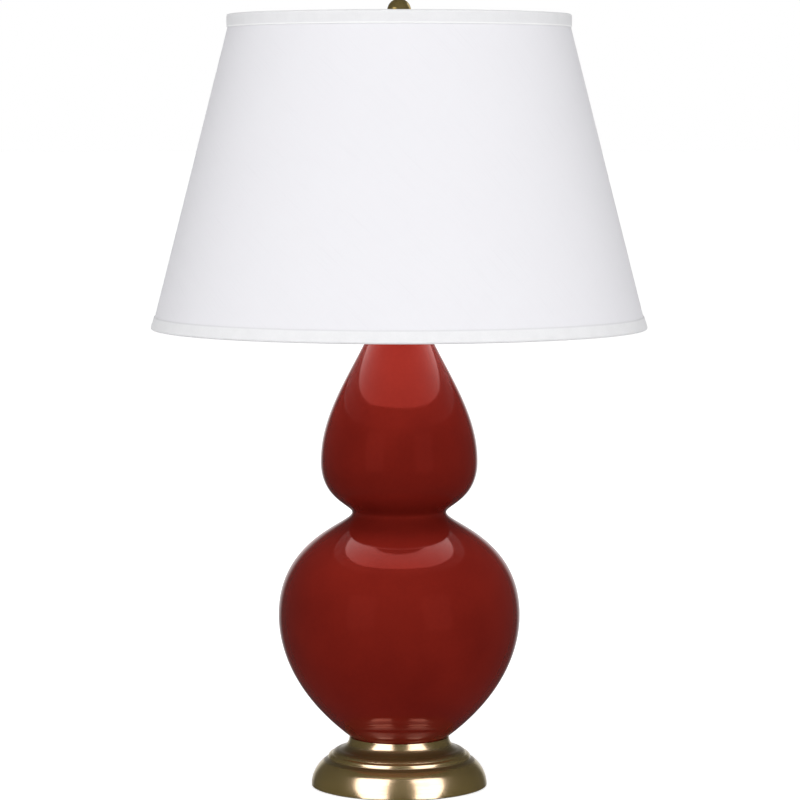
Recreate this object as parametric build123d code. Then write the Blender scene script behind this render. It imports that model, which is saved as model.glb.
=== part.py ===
"""Double gourd table lamp, built piece by piece at its real size, in millimetres.

The lamp stands on z = 0 with its axis on Z, its front towards -Y and its harp in the XZ plane.
Everything is stacked on the threaded pipe: felt, weighted brass base, ceramic double gourd,
vase cap, riser, harp saddle and socket. The harp carries the shade, which the finial holds down.
"""

from build123d import *
import math
import os

# ---------------------------------------------------------------- driving dimensions
# Running and seating clearances
FIT = 0.1  # loose round fit between fixed pieces
GLUE = 0.1  # glue line between laminated skins
SEAT = 0.1  # air under a piece that turns on a flat seat
SPINDLE_FIT = 0.05  # radial play of the switch spindle in its bearing

# Felt, brass base and iron weight
FELT_THICKNESS = 2.0
FELT_MARGIN = 1.2  # felt edge to the inside of the brass rim
RIM_LIFT = 0.8  # brass rim above the table
BASE_WALL = 1.1
DOME_RISE = 27.2
DOME_RUN = 16.0
DOME_BULGE = 4.3  # how far the dome's arc stands off its chord
BEAD_RISE = 5.0
BEAD_RUN = 4.7
BEAD_BULGE = 1.0
QUIRK = 0.6  # small steps under and over the bead
OGEE_RISE = 4.3
OGEE_RUN = 7.3
COVE_RISE = 12.3
COVE_RUN = 10.3
COVE_HOLLOW = 2.7
CUP_DEPTH = 3.6  # seat for the ceramic foot, below the collar's lip
CUP_CLEARANCE = 0.45  # collar's lip to the ceramic
WEIGHT_GAP = 3.0  # weight to the inside of the brass
WEIGHT_PLATE = 13.0  # thickness of the weight's outer plate
WEIGHT_BOSS_RADIUS = 24.0
NUT_POCKET_RADIUS = 15.0
NUT_POCKET_DEPTH = 15.0

# Cord inlet at the back of the base
INLET_ANGLE = 18.0  # degrees, tilt of the inlet up the dome
INLET_BORE = 3.6
BUSHING_WALL = 1.1
BUSHING_FLANGE = 2.0  # how far the flange stands out past the barrel
BUSHING_FLANGE_THICKNESS = 2.0
BUSHING_DEPTH = 6.0

# Threaded pipe and what is screwed on it
PIPE_RADIUS = 4.85
PIPE_BORE = 3.1
NUT_ACROSS_FLATS = 15.9
NUT_THICKNESS = 4.8
WASHER_RADIUS = 12.7
WASHER_THICKNESS = 1.6
PIPE_END = 2.0  # pipe below the lower nut
PIPE_IN_CAP = 8.5  # pipe above the socket cap's foot

# Ceramic double gourd: stations of the outline, radii and heights above its foot
GASKET_THICKNESS = 1.5
FOOT_RADIUS = 46.5
BELLY_RADIUS = 121.3
BELLY_HEIGHT = 126.0
WAIST_RADIUS = 47.4
WAIST_HEIGHT = 229.1
HEAD_RADIUS = 78.6
HEAD_HEIGHT = 279.9
NECK_RADIUS = 21.0
NECK_HEIGHT = 428.5
FOOT_SLOPE = 36.2  # degrees above the horizontal at which the wall leaves the foot
NECK_SLOPE = 21.3  # degrees off the vertical at the neck's lip
FOOT_CHAMFER = 0.6
CERAMIC_WALL = 6.0
CERAMIC_FLOOR = 7.0
GOURD_HOLE = 9.0

# Vase cap and riser
CAP_WALL = 1.2
CAP_SKIRT = 7.0
CAP_CLEARANCE = 0.8
CAP_BEVEL = 2.5
RISER_RADIUS = 9.0
RISER_HEIGHT = 8.3
RISER_GROOVE = 2.0

# Harp saddle, harp, sleeves and stud
SADDLE_THICKNESS = 1.6
SADDLE_WIDTH = 15.0
SADDLE_BEND = 4.0
SADDLE_SHOULDER = 10.0  # height of the shoulder that a sleeve rests on
TONGUE_WIDTH = 5.2
TONGUE_HEIGHT = 10.0
HARP_WIRE = 2.0
HARP_HEIGHT = 266.7
HARP_FOOT_SPREAD = 32.0
HARP_HALF_WIDTH = 57.0
HARP_STRAIGHT = 34.0
HARP_FLARE = 60.0
HARP_LOW_BEND = 45.0
HARP_TOP_BEND = 50.0
SLEEVE_BORE = 3.3
SLEEVE_WALL = 0.9
SLEEVE_LENGTH = 11.0
STUD_RADIUS = 3.1
STUD_LENGTH = 13.0
STUD_FLANGE_RADIUS = 9.0
STUD_FLANGE_THICKNESS = 2.4
STUD_BLOCK_RADIUS = 5.5

# Socket
SOCKET_RADIUS = 16.6
SOCKET_WALL = 0.7
SOCKET_CAP_HEIGHT = 16.0
SOCKET_HUB_RADIUS = 7.8
SOCKET_HUB_HEIGHT = 6.0
SOCKET_LENGTH = 66.0
SHELL_IN_CAP = 3.5
SHELL_BEAD_DROP = 9.0  # bead below the shell's mouth
LINER_WALL = 0.6
CORE_HEIGHT = 20.0
CORE_FLOOR = 3.0  # core above the top of the pipe
SHELL_SCREW_RADIUS = 13.35  # inside of the screw shell's crests
SHELL_SCREW_WALL = 0.5
SCREW_SHELL_LENGTH = 24.0
SWITCH_RISE = 8.0  # switch axis above the core's foot
SPINDLE_RADIUS = 2.0
SPINDLE_IN_CORE = 7.0
KNOB_GAP = 1.6
KNOB_RADIUS = 6.4
KNOB_LENGTH = 19.0
KNOB_FLUTES = 14
FLUTE_RADIUS = 0.8
TERMINAL_SCREW_RADIUS = 2.6
SET_SCREW_RADIUS = 1.6

# Bulb
BULB_LENGTH = 127.0
BULB_RADIUS = 33.5
BULB_NECK_RADIUS = 14.2
BULB_CAP_RADIUS = 13.0
BULB_CAP_LENGTH = 25.0
BULB_GLASS = 1.0
BULB_NECK_IN_CAP = 4.0
BULB_CAP_WALL = 0.5
BULB_TIP = 3.0
INSULATOR_RADIUS = 9.0
INSULATOR_HEIGHT = 2.0
CONTACT_RADIUS = 2.5

# Shade: straight cone between two rings, bound with half inch tape
SHADE_HEIGHT = 312.0  # over the trims
SHADE_TOP_RADIUS = 167.6  # fabric at the top ring
SHADE_BOTTOM_RADIUS = 245.9  # fabric at the bottom ring
FABRIC = 0.5
STYRENE = 0.6
RING_WIRE = 2.0
TRIM_HEIGHT = 13.0
TRIM_CLOTH = 0.8
TAPE_TURN_IN = 4.0  # how much shorter the tape is inside the shade
TOP_TAPE_STAND = 2.8  # top tape off the cone, at the ring
BOTTOM_TAPE_STAND = 0.9
TAPE_ROLL = 2.3  # bevel of the tapes' rolled edges
FITTER_DROP = 14.5  # washer below the top ring
FITTER_WASHER_RADIUS = 15.0
FITTER_WASHER_THICKNESS = 1.8
FITTER_HOLE_PLAY = 0.4
FITTER_ARM_WIRE = 1.7
FITTER_ARMS = 3
ARM_NOTCH = 0.5  # air round an arm where it passes the top tape

# Finial
FINIAL_BALL = 12.0
FINIAL_NECK = 4.6
FINIAL_FLANGE = 9.0
FINIAL_HEIGHT = 31.0
FINIAL_HOLE_DEPTH = 14.5

# ---------------------------------------------------------------- levels worked out from them
DOME_TOP = RIM_LIFT + DOME_RISE
BEAD_TOP = DOME_TOP + BEAD_RISE
OGEE_TOP = BEAD_TOP + OGEE_RISE
COLLAR_TOP = OGEE_TOP + COVE_RISE
CUP_FLOOR = COLLAR_TOP - CUP_DEPTH
FOOT_UNDER_LIP = CUP_DEPTH - GASKET_THICKNESS - FOOT_CHAMFER
FOOT_AT_LIP = FOOT_RADIUS + FOOT_UNDER_LIP / math.tan(math.radians(FOOT_SLOPE))
CUP_RADIUS = FOOT_AT_LIP + CUP_CLEARANCE
COLLAR_RADIUS = CUP_RADIUS + BASE_WALL
OGEE_TOP_RADIUS = COLLAR_RADIUS + COVE_RUN
BEAD_TOP_RADIUS = OGEE_TOP_RADIUS + OGEE_RUN
DOME_TOP_RADIUS = BEAD_TOP_RADIUS + BEAD_RUN
BASE_RADIUS = DOME_TOP_RADIUS + DOME_RUN
PIPE_HOLE = PIPE_RADIUS + FIT

FOOT_Z = CUP_FLOOR + GASKET_THICKNESS
NECK_Z = FOOT_Z + NECK_HEIGHT
CAP_Z = NECK_Z + GASKET_THICKNESS
RISER_Z = CAP_Z + CAP_WALL
SADDLE_Z = RISER_Z + RISER_HEIGHT
SOCKET_Z = SADDLE_Z + SADDLE_THICKNESS
PIPE_TOP = SOCKET_Z + PIPE_IN_CAP
POCKET_TOP = FELT_THICKNESS + NUT_POCKET_DEPTH
PIPE_FOOT = POCKET_TOP - WASHER_THICKNESS - NUT_THICKNESS - PIPE_END

HARP_SEAT = SOCKET_Z + HARP_HEIGHT
STUD_BLOCK_HEIGHT = 2 * HARP_WIRE + 2.0
HARP_TOP = HARP_SEAT - STUD_FLANGE_THICKNESS - STUD_BLOCK_HEIGHT / 2
SHOULDER_Z = SOCKET_Z + SADDLE_SHOULDER
SLEEVE_Z = SHOULDER_Z + SEAT
WASHER_Z = HARP_SEAT + SEAT
FINIAL_Z = WASHER_Z + FITTER_WASHER_THICKNESS + SEAT

CORE_Z = PIPE_TOP + CORE_FLOOR
CORE_TOP = CORE_Z + CORE_HEIGHT
SHELL_Z = SOCKET_Z + SOCKET_CAP_HEIGHT - SHELL_IN_CAP
SHELL_TOP = SOCKET_Z + SOCKET_LENGTH
LINER_RADIUS = SOCKET_RADIUS - SOCKET_WALL - FIT
CORE_RADIUS = LINER_RADIUS - LINER_WALL - FIT
SWITCH_Z = CORE_Z + SWITCH_RISE
KNOB_Y = SOCKET_RADIUS + KNOB_GAP
BULB_Z = CORE_TOP + 1.2

TOP_RING_Z = WASHER_Z + FITTER_DROP
SHADE_TOP = TOP_RING_Z + RING_WIRE + TRIM_CLOTH + GLUE
SHADE_BOTTOM = SHADE_TOP - SHADE_HEIGHT
BOTTOM_RING_Z = SHADE_BOTTOM + RING_WIRE + TRIM_CLOTH + GLUE
SHADE_TAPER = (SHADE_BOTTOM_RADIUS - SHADE_TOP_RADIUS) / (TOP_RING_Z - BOTTOM_RING_Z)
SKIN = FABRIC + GLUE + STYRENE


# ---------------------------------------------------------------- outline helpers
def lathe(*edges):
    """Solid of revolution about Z of a closed outline of edges in the XZ plane."""
    outline = make_face(Curve() + list(edges))
    return revolve(outline, Axis.Z)


def lathe_points(points):
    """Solid of revolution about Z of a closed polygon of (radius, height) points."""
    return lathe(Polyline(*[at(*p) for p in points], close=True))


def at(radius, height):
    """Point of the half plane that the lathe turns."""
    return (radius, 0, height)


def line(start, end):
    """Straight edge between two (radius, height) points."""
    return Line(at(*start), at(*end))


def arc(start, end, rise):
    """Arc between two (radius, height) points, which rises to the left of its chord."""
    run, climb = end[0] - start[0], end[1] - start[1]
    length = math.hypot(run, climb)
    middle = (
        (start[0] + end[0]) / 2 - rise * climb / length,
        (start[1] + end[1]) / 2 + rise * run / length,
    )
    return ThreePointArc(at(*start), at(*middle), at(*end))


def inset(points, wall):
    """Polyline moved to its left by the wall, corner by corner."""
    moved = []
    for i, (radius, height) in enumerate(points):
        before, after = points[max(i - 1, 0)], points[min(i + 1, len(points) - 1)]
        run, climb = after[0] - before[0], after[1] - before[1]
        length = math.hypot(run, climb)
        moved.append((radius - wall * climb / length, height + wall * run / length))
    return moved


def ring(inner, outer, low, high):
    """Flat ring, tube or washer between two radii and two heights."""
    return lathe_points([(inner, low), (outer, low), (outer, high), (inner, high)])


def shade_radius(height):
    """Outer radius of the shade's fabric cone at a height."""
    return SHADE_TOP_RADIUS + SHADE_TAPER * (TOP_RING_Z - height)


# ---------------------------------------------------------------- base
def base_outline():
    """(radius, height, rise of the arc that follows) up the outside of the spun brass."""
    return [
        (BASE_RADIUS, RIM_LIFT, -DOME_BULGE),
        (DOME_TOP_RADIUS, DOME_TOP, 0),
        (DOME_TOP_RADIUS - QUIRK, DOME_TOP + QUIRK, -BEAD_BULGE),
        (BEAD_TOP_RADIUS + QUIRK, BEAD_TOP, 0),
        (BEAD_TOP_RADIUS, BEAD_TOP, 0),
        (OGEE_TOP_RADIUS, OGEE_TOP, COVE_HOLLOW),
        (COLLAR_RADIUS, COLLAR_TOP, 0),
    ]


def outline_edges(stations):
    """Lines and arcs through (radius, height, rise) stations."""
    edges = []
    for (r0, z0, rise), (r1, z1, _) in zip(stations, stations[1:]):
        if rise:
            edges.append(arc((r0, z0), (r1, z1), rise))
        else:
            edges.append(line((r0, z0), (r1, z1)))
    return edges


def dome_point(angle, inwards=0.0):
    """(radius, height) on the dome's own circle, at an angle above its rim."""
    chord = math.hypot(DOME_RUN, DOME_RISE)
    radius = (chord**2 / 4 + DOME_BULGE**2) / (2 * DOME_BULGE)
    centre_r = (BASE_RADIUS + DOME_TOP_RADIUS) / 2 - (radius - DOME_BULGE) * DOME_RISE / chord
    centre_z = (RIM_LIFT + DOME_TOP) / 2 - (radius - DOME_BULGE) * DOME_RUN / chord
    reach = radius - inwards
    turn = math.radians(angle)
    return centre_r + reach * math.cos(turn), centre_z + reach * math.sin(turn)


def inlet_plane(depth):
    """Plane across the cord inlet, a depth below the brass, its normal pointing out."""
    y, z = dome_point(INLET_ANGLE, depth)
    turn = math.radians(INLET_ANGLE)
    return Plane(origin=(0, y, z), x_dir=(1, 0, 0), z_dir=(0, math.cos(turn), math.sin(turn)))


def inner_base_points():
    """Inside of the brass, from the rim up to the underside of the cup."""
    web = CUP_FLOOR - BASE_WALL
    points = [
        (BASE_RADIUS, RIM_LIFT),
        dome_point(25),
        dome_point(45),
        (DOME_TOP_RADIUS, DOME_TOP),
        (BEAD_TOP_RADIUS, BEAD_TOP),
        (OGEE_TOP_RADIUS, OGEE_TOP),
        (OGEE_TOP_RADIUS - 0.72 * COVE_RUN, OGEE_TOP + 0.29 * COVE_RISE),
    ]
    inner = inset(points, BASE_WALL)
    return [(inner[0][0], RIM_LIFT), *inner[1:], (COLLAR_RADIUS - BASE_WALL, web)]


def base_shell():
    """Spun brass base: dome, bead and coved collar round a shallow cup for the gourd."""
    corners = [(COLLAR_RADIUS, COLLAR_TOP), (CUP_RADIUS, COLLAR_TOP), (CUP_RADIUS, CUP_FLOOR)]
    corners += [(PIPE_HOLE, CUP_FLOOR), (PIPE_HOLE, CUP_FLOOR - BASE_WALL)]
    corners += [*reversed(inner_base_points()), (BASE_RADIUS, RIM_LIFT)]
    shell = lathe(*outline_edges(base_outline()), Polyline(*[at(*p) for p in corners]))
    hole = INLET_BORE + BUSHING_WALL + FIT
    return shell - extrude(inlet_plane(BASE_WALL) * Circle(hole), 3 * BASE_WALL, both=True)


def felt_pad():
    """Felt disc that the lamp stands on, set inside the brass rim."""
    radius = inner_base_points()[0][0] - FELT_MARGIN
    return ring(0, radius, 0, FELT_THICKNESS)


def base_weight():
    """Cast iron weight, with a pocket for the nut and a channel for the cord."""
    low = FELT_THICKNESS
    plate = low + WEIGHT_PLATE
    inside = dict(low=inner_base_points()[0][0], high=dome_point(25, BASE_WALL)[0])
    top = CUP_FLOOR - BASE_WALL
    body = lathe_points(
        [
            (PIPE_HOLE, low),
            (inside["low"] - WEIGHT_GAP, low),
            (inside["high"] - WEIGHT_GAP, plate),
            (DOME_TOP_RADIUS - BASE_WALL - 2 * WEIGHT_GAP, plate + 0.4 * DOME_RISE),
            (WEIGHT_BOSS_RADIUS, top - 0.6 * COVE_RISE),
            (WEIGHT_BOSS_RADIUS, top),
            (PIPE_HOLE, top),
        ]
    )
    body -= ring(0, NUT_POCKET_RADIUS, low, POCKET_TOP)
    channel = 2 * (INLET_BORE + BUSHING_WALL + BUSHING_FLANGE / 2)
    slot = Pos(0, BASE_RADIUS / 2, (low + POCKET_TOP) / 2)
    return body - slot * Box(channel, BASE_RADIUS, POCKET_TOP - low)


def cord_bushing():
    """Snap-in bushing that lines the cord inlet, its flange outside the brass."""
    barrel = INLET_BORE + BUSHING_WALL
    outside = inlet_plane(-2 * FIT)
    body = extrude(outside * Circle(barrel), -BUSHING_DEPTH)
    flange = extrude(outside * Circle(barrel + BUSHING_FLANGE), BUSHING_FLANGE_THICKNESS)
    flange = fillet(flange.edges().group_by(Axis.Y)[-1], BUSHING_FLANGE_THICKNESS / 3)
    bore = extrude(outside * Circle(INLET_BORE), 2 * BUSHING_DEPTH, both=True)
    return body + flange - bore


# ---------------------------------------------------------------- pipe and fasteners
def lamp_pipe():
    """Hollow threaded pipe that clamps the whole column together."""
    return ring(PIPE_BORE, PIPE_RADIUS, PIPE_FOOT, PIPE_TOP)


def bottom_washer():
    """Flat steel washer in the weight's pocket."""
    return ring(PIPE_HOLE, WASHER_RADIUS, POCKET_TOP - WASHER_THICKNESS, POCKET_TOP)


def bottom_nut():
    """Hexagon nut that pulls the pipe down."""
    top = POCKET_TOP - WASHER_THICKNESS
    low = Plane.XY.offset(top - NUT_THICKNESS)
    blank = extrude(low * RegularPolygon(NUT_ACROSS_FLATS / 2, 6, major_radius=False), NUT_THICKNESS)
    corner = NUT_ACROSS_FLATS / math.sqrt(3)
    bevel = 0.12 * NUT_THICKNESS
    crown = lathe_points(
        [
            (PIPE_HOLE, top - NUT_THICKNESS),
            (corner - 2 * bevel, top - NUT_THICKNESS),
            (corner + bevel, top - NUT_THICKNESS + 1.5 * bevel),
            (corner + bevel, top),
            (PIPE_HOLE, top),
        ]
    )
    return blank & crown


# ---------------------------------------------------------------- gourd
def gourd_handles():
    """The four cubic curves of the gourd's outline, each as four (radius, height) points.

    They run from the foot to the neck. The wall stands upright at the belly, waist and head.
    """
    foot = (FOOT_RADIUS, FOOT_Z + FOOT_CHAMFER)
    belly = (BELLY_RADIUS, FOOT_Z + BELLY_HEIGHT)
    waist = (WAIST_RADIUS, FOOT_Z + WAIST_HEIGHT)
    head = (HEAD_RADIUS, FOOT_Z + HEAD_HEIGHT)
    neck = (NECK_RADIUS, NECK_Z)
    out, lean = math.radians(FOOT_SLOPE), math.radians(NECK_SLOPE)
    low, shoulder = belly[1] - foot[1], waist[1] - belly[1]
    tuck, crown = head[1] - waist[1], neck[1] - head[1]
    reach = 0.486 * low
    return [
        [
            foot,
            (foot[0] + reach * math.cos(out), foot[1] + reach * math.sin(out)),
            (belly[0], belly[1] - 0.357 * low),
            belly,
        ],
        [belly, (belly[0], belly[1] + 0.75 * shoulder), (waist[0], waist[1] - 0.111 * shoulder), waist],
        [waist, (waist[0], waist[1] + 0.145 * tuck), (head[0], head[1] - 0.735 * tuck), head],
        [
            head,
            (head[0], head[1] + 0.368 * crown),
            (neck[0] + 0.345 * crown * math.tan(lean), neck[1] - 0.345 * crown),
            neck,
        ],
    ]


def bezier_point(handles, t):
    """(radius, height) at a share t of one cubic curve."""
    weights = [(1 - t) ** 3, 3 * (1 - t) ** 2 * t, 3 * (1 - t) * t**2, t**3]
    return tuple(sum(w * p[i] for w, p in zip(weights, handles)) for i in range(2))


def gourd_body():
    """Slip-cast double gourd, open at the neck, with a hole in its floor for the pipe."""
    curves = gourd_handles()
    steps = 3
    outline = [bezier_point(c, i / steps) for c in curves for i in range(steps)] + [curves[-1][-1]]
    floor = FOOT_Z + CERAMIC_FLOOR
    inside = [p for p in inset(outline, CERAMIC_WALL) if floor + 1 < p[1] < NECK_Z - 1]
    foot = (FOOT_RADIUS - FOOT_CHAMFER, FOOT_Z)
    wall = [Bezier(*[at(*p) for p in c]) for c in curves]
    corners = [
        curves[-1][-1],
        (GOURD_HOLE, NECK_Z),
        (GOURD_HOLE, max(inside[-1][1], NECK_Z - CERAMIC_FLOOR)),
        *reversed(inside),
        (FOOT_RADIUS - CERAMIC_WALL, floor),
        (GOURD_HOLE, floor),
        (GOURD_HOLE, FOOT_Z),
        foot,
        curves[0][0],
    ]
    return lathe(*wall, Polyline(*[at(*p) for p in corners]))


def foot_gasket():
    """Rubber ring between the brass cup and the ceramic foot."""
    return ring(FOOT_RADIUS - 2 * CERAMIC_WALL, FOOT_RADIUS - 2 * FOOT_CHAMFER, CUP_FLOOR, FOOT_Z)


def neck_gasket():
    """Rubber washer between the ceramic lip and the vase cap."""
    return ring(GOURD_HOLE + FIT, NECK_RADIUS - 1, NECK_Z, CAP_Z)


def vase_cap():
    """Spun brass cap over the gourd's lip."""
    inner = NECK_RADIUS + CAP_SKIRT * math.tan(math.radians(NECK_SLOPE)) + CAP_CLEARANCE
    outer = inner + CAP_WALL
    low = CAP_Z - CAP_SKIRT
    top = CAP_Z + CAP_WALL
    return lathe_points(
        [
            (inner, low),
            (outer, low),
            (outer, top - CAP_BEVEL),
            (outer - CAP_BEVEL, top),
            (PIPE_HOLE, top),
            (PIPE_HOLE, CAP_Z),
            (inner - CAP_BEVEL, CAP_Z),
            (inner, CAP_Z - CAP_BEVEL),
        ]
    )


def neck_riser():
    """Turned brass riser, screwed down on the vase cap."""
    low, top = RISER_Z, RISER_Z + RISER_HEIGHT
    lip = 0.2 * RISER_HEIGHT
    waist = RISER_RADIUS - RISER_GROOVE
    return lathe_points(
        [
            (PIPE_HOLE, low),
            (RISER_RADIUS, low),
            (RISER_RADIUS, low + lip),
            (waist, low + 2 * lip),
            (waist, top - 2 * lip),
            (RISER_RADIUS, top - lip),
            (RISER_RADIUS, top),
            (PIPE_HOLE, top),
        ]
    )


# ---------------------------------------------------------------- harp
def tongue_faces():
    """Inner and outer x of the saddle's right-hand tongue, just inside the wire's centre."""
    outer = HARP_FOOT_SPREAD - FIT
    return outer - SADDLE_THICKNESS, outer


def harp_saddle():
    """Steel strap under the socket, its two ends bent up into tongues for the harp."""
    inner, outer = tongue_faces()
    high = SHOULDER_Z + TONGUE_HEIGHT
    bend = SADDLE_BEND
    strip = FilletPolyline(
        (-outer, 0, high), (-outer, 0, SADDLE_Z), (outer, 0, SADDLE_Z), (outer, 0, high),
        radius=bend + SADDLE_THICKNESS,
    )
    lining = FilletPolyline(
        (inner, 0, high), (inner, 0, SOCKET_Z), (-inner, 0, SOCKET_Z), (-inner, 0, high),
        radius=bend,
    )
    ends = [Line((outer, 0, high), (inner, 0, high)), Line((-inner, 0, high), (-outer, 0, high))]
    strap = extrude(make_face(Curve() + [strip, lining, *ends]), SADDLE_WIDTH / 2, both=True)
    waste = Box(3 * outer, SADDLE_WIDTH, TONGUE_HEIGHT)
    beside = (TONGUE_WIDTH + SADDLE_WIDTH) / 2
    for side in (-1, 1):
        strap -= Pos(0, side * beside, SHOULDER_Z + TONGUE_HEIGHT / 2) * waste
        strap -= saddle_taper(side, SADDLE_WIDTH / 2)
    return strap - ring(0, PIPE_HOLE, SADDLE_Z - 1, SOCKET_Z + 1)


def saddle_taper(side, edge):
    """Waste that narrows the strap between the pipe and each upright, on one edge."""
    start, end = 2.2 * PIPE_HOLE, tongue_faces()[0] - SADDLE_BEND
    depth = 0.3 * SADDLE_WIDTH
    cuts = []
    for way in (-1, 1):
        notch = ThreePointArc(
            (way * start, side * edge, 0),
            (way * (start + end) / 2, side * (edge - depth / 2), 0),
            (way * end, side * edge, 0),
        )
        chord = Line(notch @ 1, notch @ 0)
        cuts.append(extrude(Pos(0, 0, SADDLE_Z - 1) * make_face(Curve() + [notch, chord]), 4))
    return cuts[0] + cuts[1]


def harp_path():
    """Centre line of the harp's wire, from the left foot over the top to the right."""
    foot = SHOULDER_Z + SEAT
    knee = foot + HARP_STRAIGHT
    wide = knee + HARP_FLARE
    half = [(HARP_FOOT_SPREAD, foot), (HARP_FOOT_SPREAD, knee)]
    half += [(HARP_HALF_WIDTH, wide), (HARP_HALF_WIDTH, HARP_TOP)]
    points = [(-x, 0, z) for x, z in half] + [(x, 0, z) for x, z in reversed(half)]
    bends = [HARP_LOW_BEND, HARP_LOW_BEND, HARP_TOP_BEND]
    return FilletPolyline(*points, radius=[*bends, *reversed(bends)])


def harp_frame():
    """Sprung wire harp, its feet notched to half their thickness to sit on the tongues."""
    path = harp_path()
    section = Plane(origin=path @ 0, z_dir=path % 0) * Circle(HARP_WIRE)
    wire = sweep(section, path=path)
    for side in (-1, 1):
        notch = Pos(side * (HARP_FOOT_SPREAD - HARP_WIRE), 0, SHOULDER_Z)
        wire -= notch * Box(2 * HARP_WIRE, 3 * HARP_WIRE, 2 * TONGUE_HEIGHT)
    return wire


def harp_sleeve(side):
    """Locking sleeve round a tongue and the harp's foot, on the side -1 or 1."""
    outer = SLEEVE_BORE + SLEEVE_WALL
    bell = 0.35
    top = SLEEVE_Z + SLEEVE_LENGTH
    body = lathe_points(
        [
            (SLEEVE_BORE, SLEEVE_Z),
            (outer + bell, SLEEVE_Z),
            (outer + bell, SLEEVE_Z + 2 * bell),
            (outer, SLEEVE_Z + 4 * bell),
            (outer, top - bell),
            (outer - bell, top),
            (SLEEVE_BORE, top),
        ]
    )
    return Pos(side * HARP_FOOT_SPREAD, 0, 0) * body


def harp_stud():
    """Brass block riveted on the harp's top, with the seat and the finial's thread."""
    low = HARP_SEAT - STUD_FLANGE_THICKNESS - STUD_BLOCK_HEIGHT
    flange = HARP_SEAT - STUD_FLANGE_THICKNESS
    tip = HARP_SEAT + STUD_LENGTH
    chamfer_size = 0.2 * STUD_RADIUS
    body = lathe_points(
        [
            (0, low),
            (STUD_BLOCK_RADIUS, low),
            (STUD_BLOCK_RADIUS, flange),
            (STUD_FLANGE_RADIUS, flange),
            (STUD_FLANGE_RADIUS, HARP_SEAT),
            (STUD_RADIUS, HARP_SEAT),
            (STUD_RADIUS, tip - chamfer_size),
            (STUD_RADIUS - chamfer_size, tip),
            (0, tip),
        ]
    )
    hole = Pos(0, 0, HARP_TOP) * Rot(0, 90, 0) * Cylinder(HARP_WIRE + FIT / 2, 4 * STUD_BLOCK_RADIUS)
    return body - hole


# ---------------------------------------------------------------- socket and switch
def socket_cap():
    """Pressed brass cap of the socket: a hub on the pipe and a bowl round the shell's foot."""
    hub = SOCKET_Z + SOCKET_HUB_HEIGHT
    rim = SOCKET_Z + SOCKET_CAP_HEIGHT
    outer = SOCKET_RADIUS + SOCKET_WALL + FIT
    inner = outer - SOCKET_WALL
    bowl = (SOCKET_HUB_RADIUS + 2 * outer) / 3
    rise = (rim - hub) / 4
    outside = [(SOCKET_HUB_RADIUS, hub), (bowl, hub + rise), (outer, hub + 2 * rise), (outer, rim)]
    inside = [(r - SOCKET_WALL, z + SOCKET_WALL) for r, z in reversed(outside[:-1])]
    cap = lathe_points(
        [
            (PIPE_HOLE, SOCKET_Z),
            (SOCKET_HUB_RADIUS, SOCKET_Z),
            *outside,
            (inner, rim),
            *inside,
            (PIPE_HOLE, hub + SOCKET_WALL),
        ]
    )
    hole = Pos(0, SOCKET_HUB_RADIUS, SOCKET_Z + SOCKET_HUB_HEIGHT / 2) * Rot(90, 0, 0)
    return cap - hole * Cylinder(SET_SCREW_RADIUS + FIT, SOCKET_HUB_RADIUS)


def cap_set_screw():
    """Set screw through the cap's hub, which stops the socket turning on the pipe."""
    start = PIPE_RADIUS + FIT
    length = SOCKET_HUB_RADIUS - start + 1.5
    slot = Box(2.2 * SET_SCREW_RADIUS, 1.2, 0.5)
    body = Cylinder(SET_SCREW_RADIUS, length)
    level = SOCKET_Z + SOCKET_HUB_HEIGHT / 2
    screw = Pos(0, start + length / 2, level) * Rot(90, 0, 0) * body
    return screw - Pos(0, start + length, level) * slot


def socket_shell():
    """Brass shell of the socket, beaded near its mouth, with a notch for the switch."""
    outer, inner = SOCKET_RADIUS, SOCKET_RADIUS - SOCKET_WALL
    bead, bead_z = SOCKET_WALL, SHELL_TOP - SHELL_BEAD_DROP
    shell = lathe_points(
        [
            (inner, SHELL_Z),
            (outer, SHELL_Z),
            (outer, bead_z - 2 * bead),
            (outer + bead, bead_z - bead),
            (outer + bead, bead_z + bead),
            (outer, bead_z + 2 * bead),
            (outer, SHELL_TOP),
            (inner, SHELL_TOP),
        ]
    )
    width = SPINDLE_RADIUS + 1.5
    slot = Pos(0, -SOCKET_RADIUS, SWITCH_Z) * Rot(90, 0, 0) * Cylinder(width, SOCKET_RADIUS)
    foot = Pos(0, -SOCKET_RADIUS, (SHELL_Z + SWITCH_Z) / 2 - 1)
    return shell - slot - foot * Box(2 * width, SOCKET_RADIUS, SWITCH_Z - SHELL_Z + 2)


def socket_liner():
    """Card sleeve that insulates the shell from the screw shell, notched as the shell is."""
    inner = LINER_RADIUS - LINER_WALL
    tube = ring(inner, LINER_RADIUS, SHELL_Z, SHELL_TOP + 1)
    width = SPINDLE_RADIUS + 0.8
    foot = Pos(0, -LINER_RADIUS, (SHELL_Z + SWITCH_Z + width) / 2 - 1)
    return tube - foot * Box(2 * width, LINER_RADIUS, SWITCH_Z - SHELL_Z + width + 2)


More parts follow.
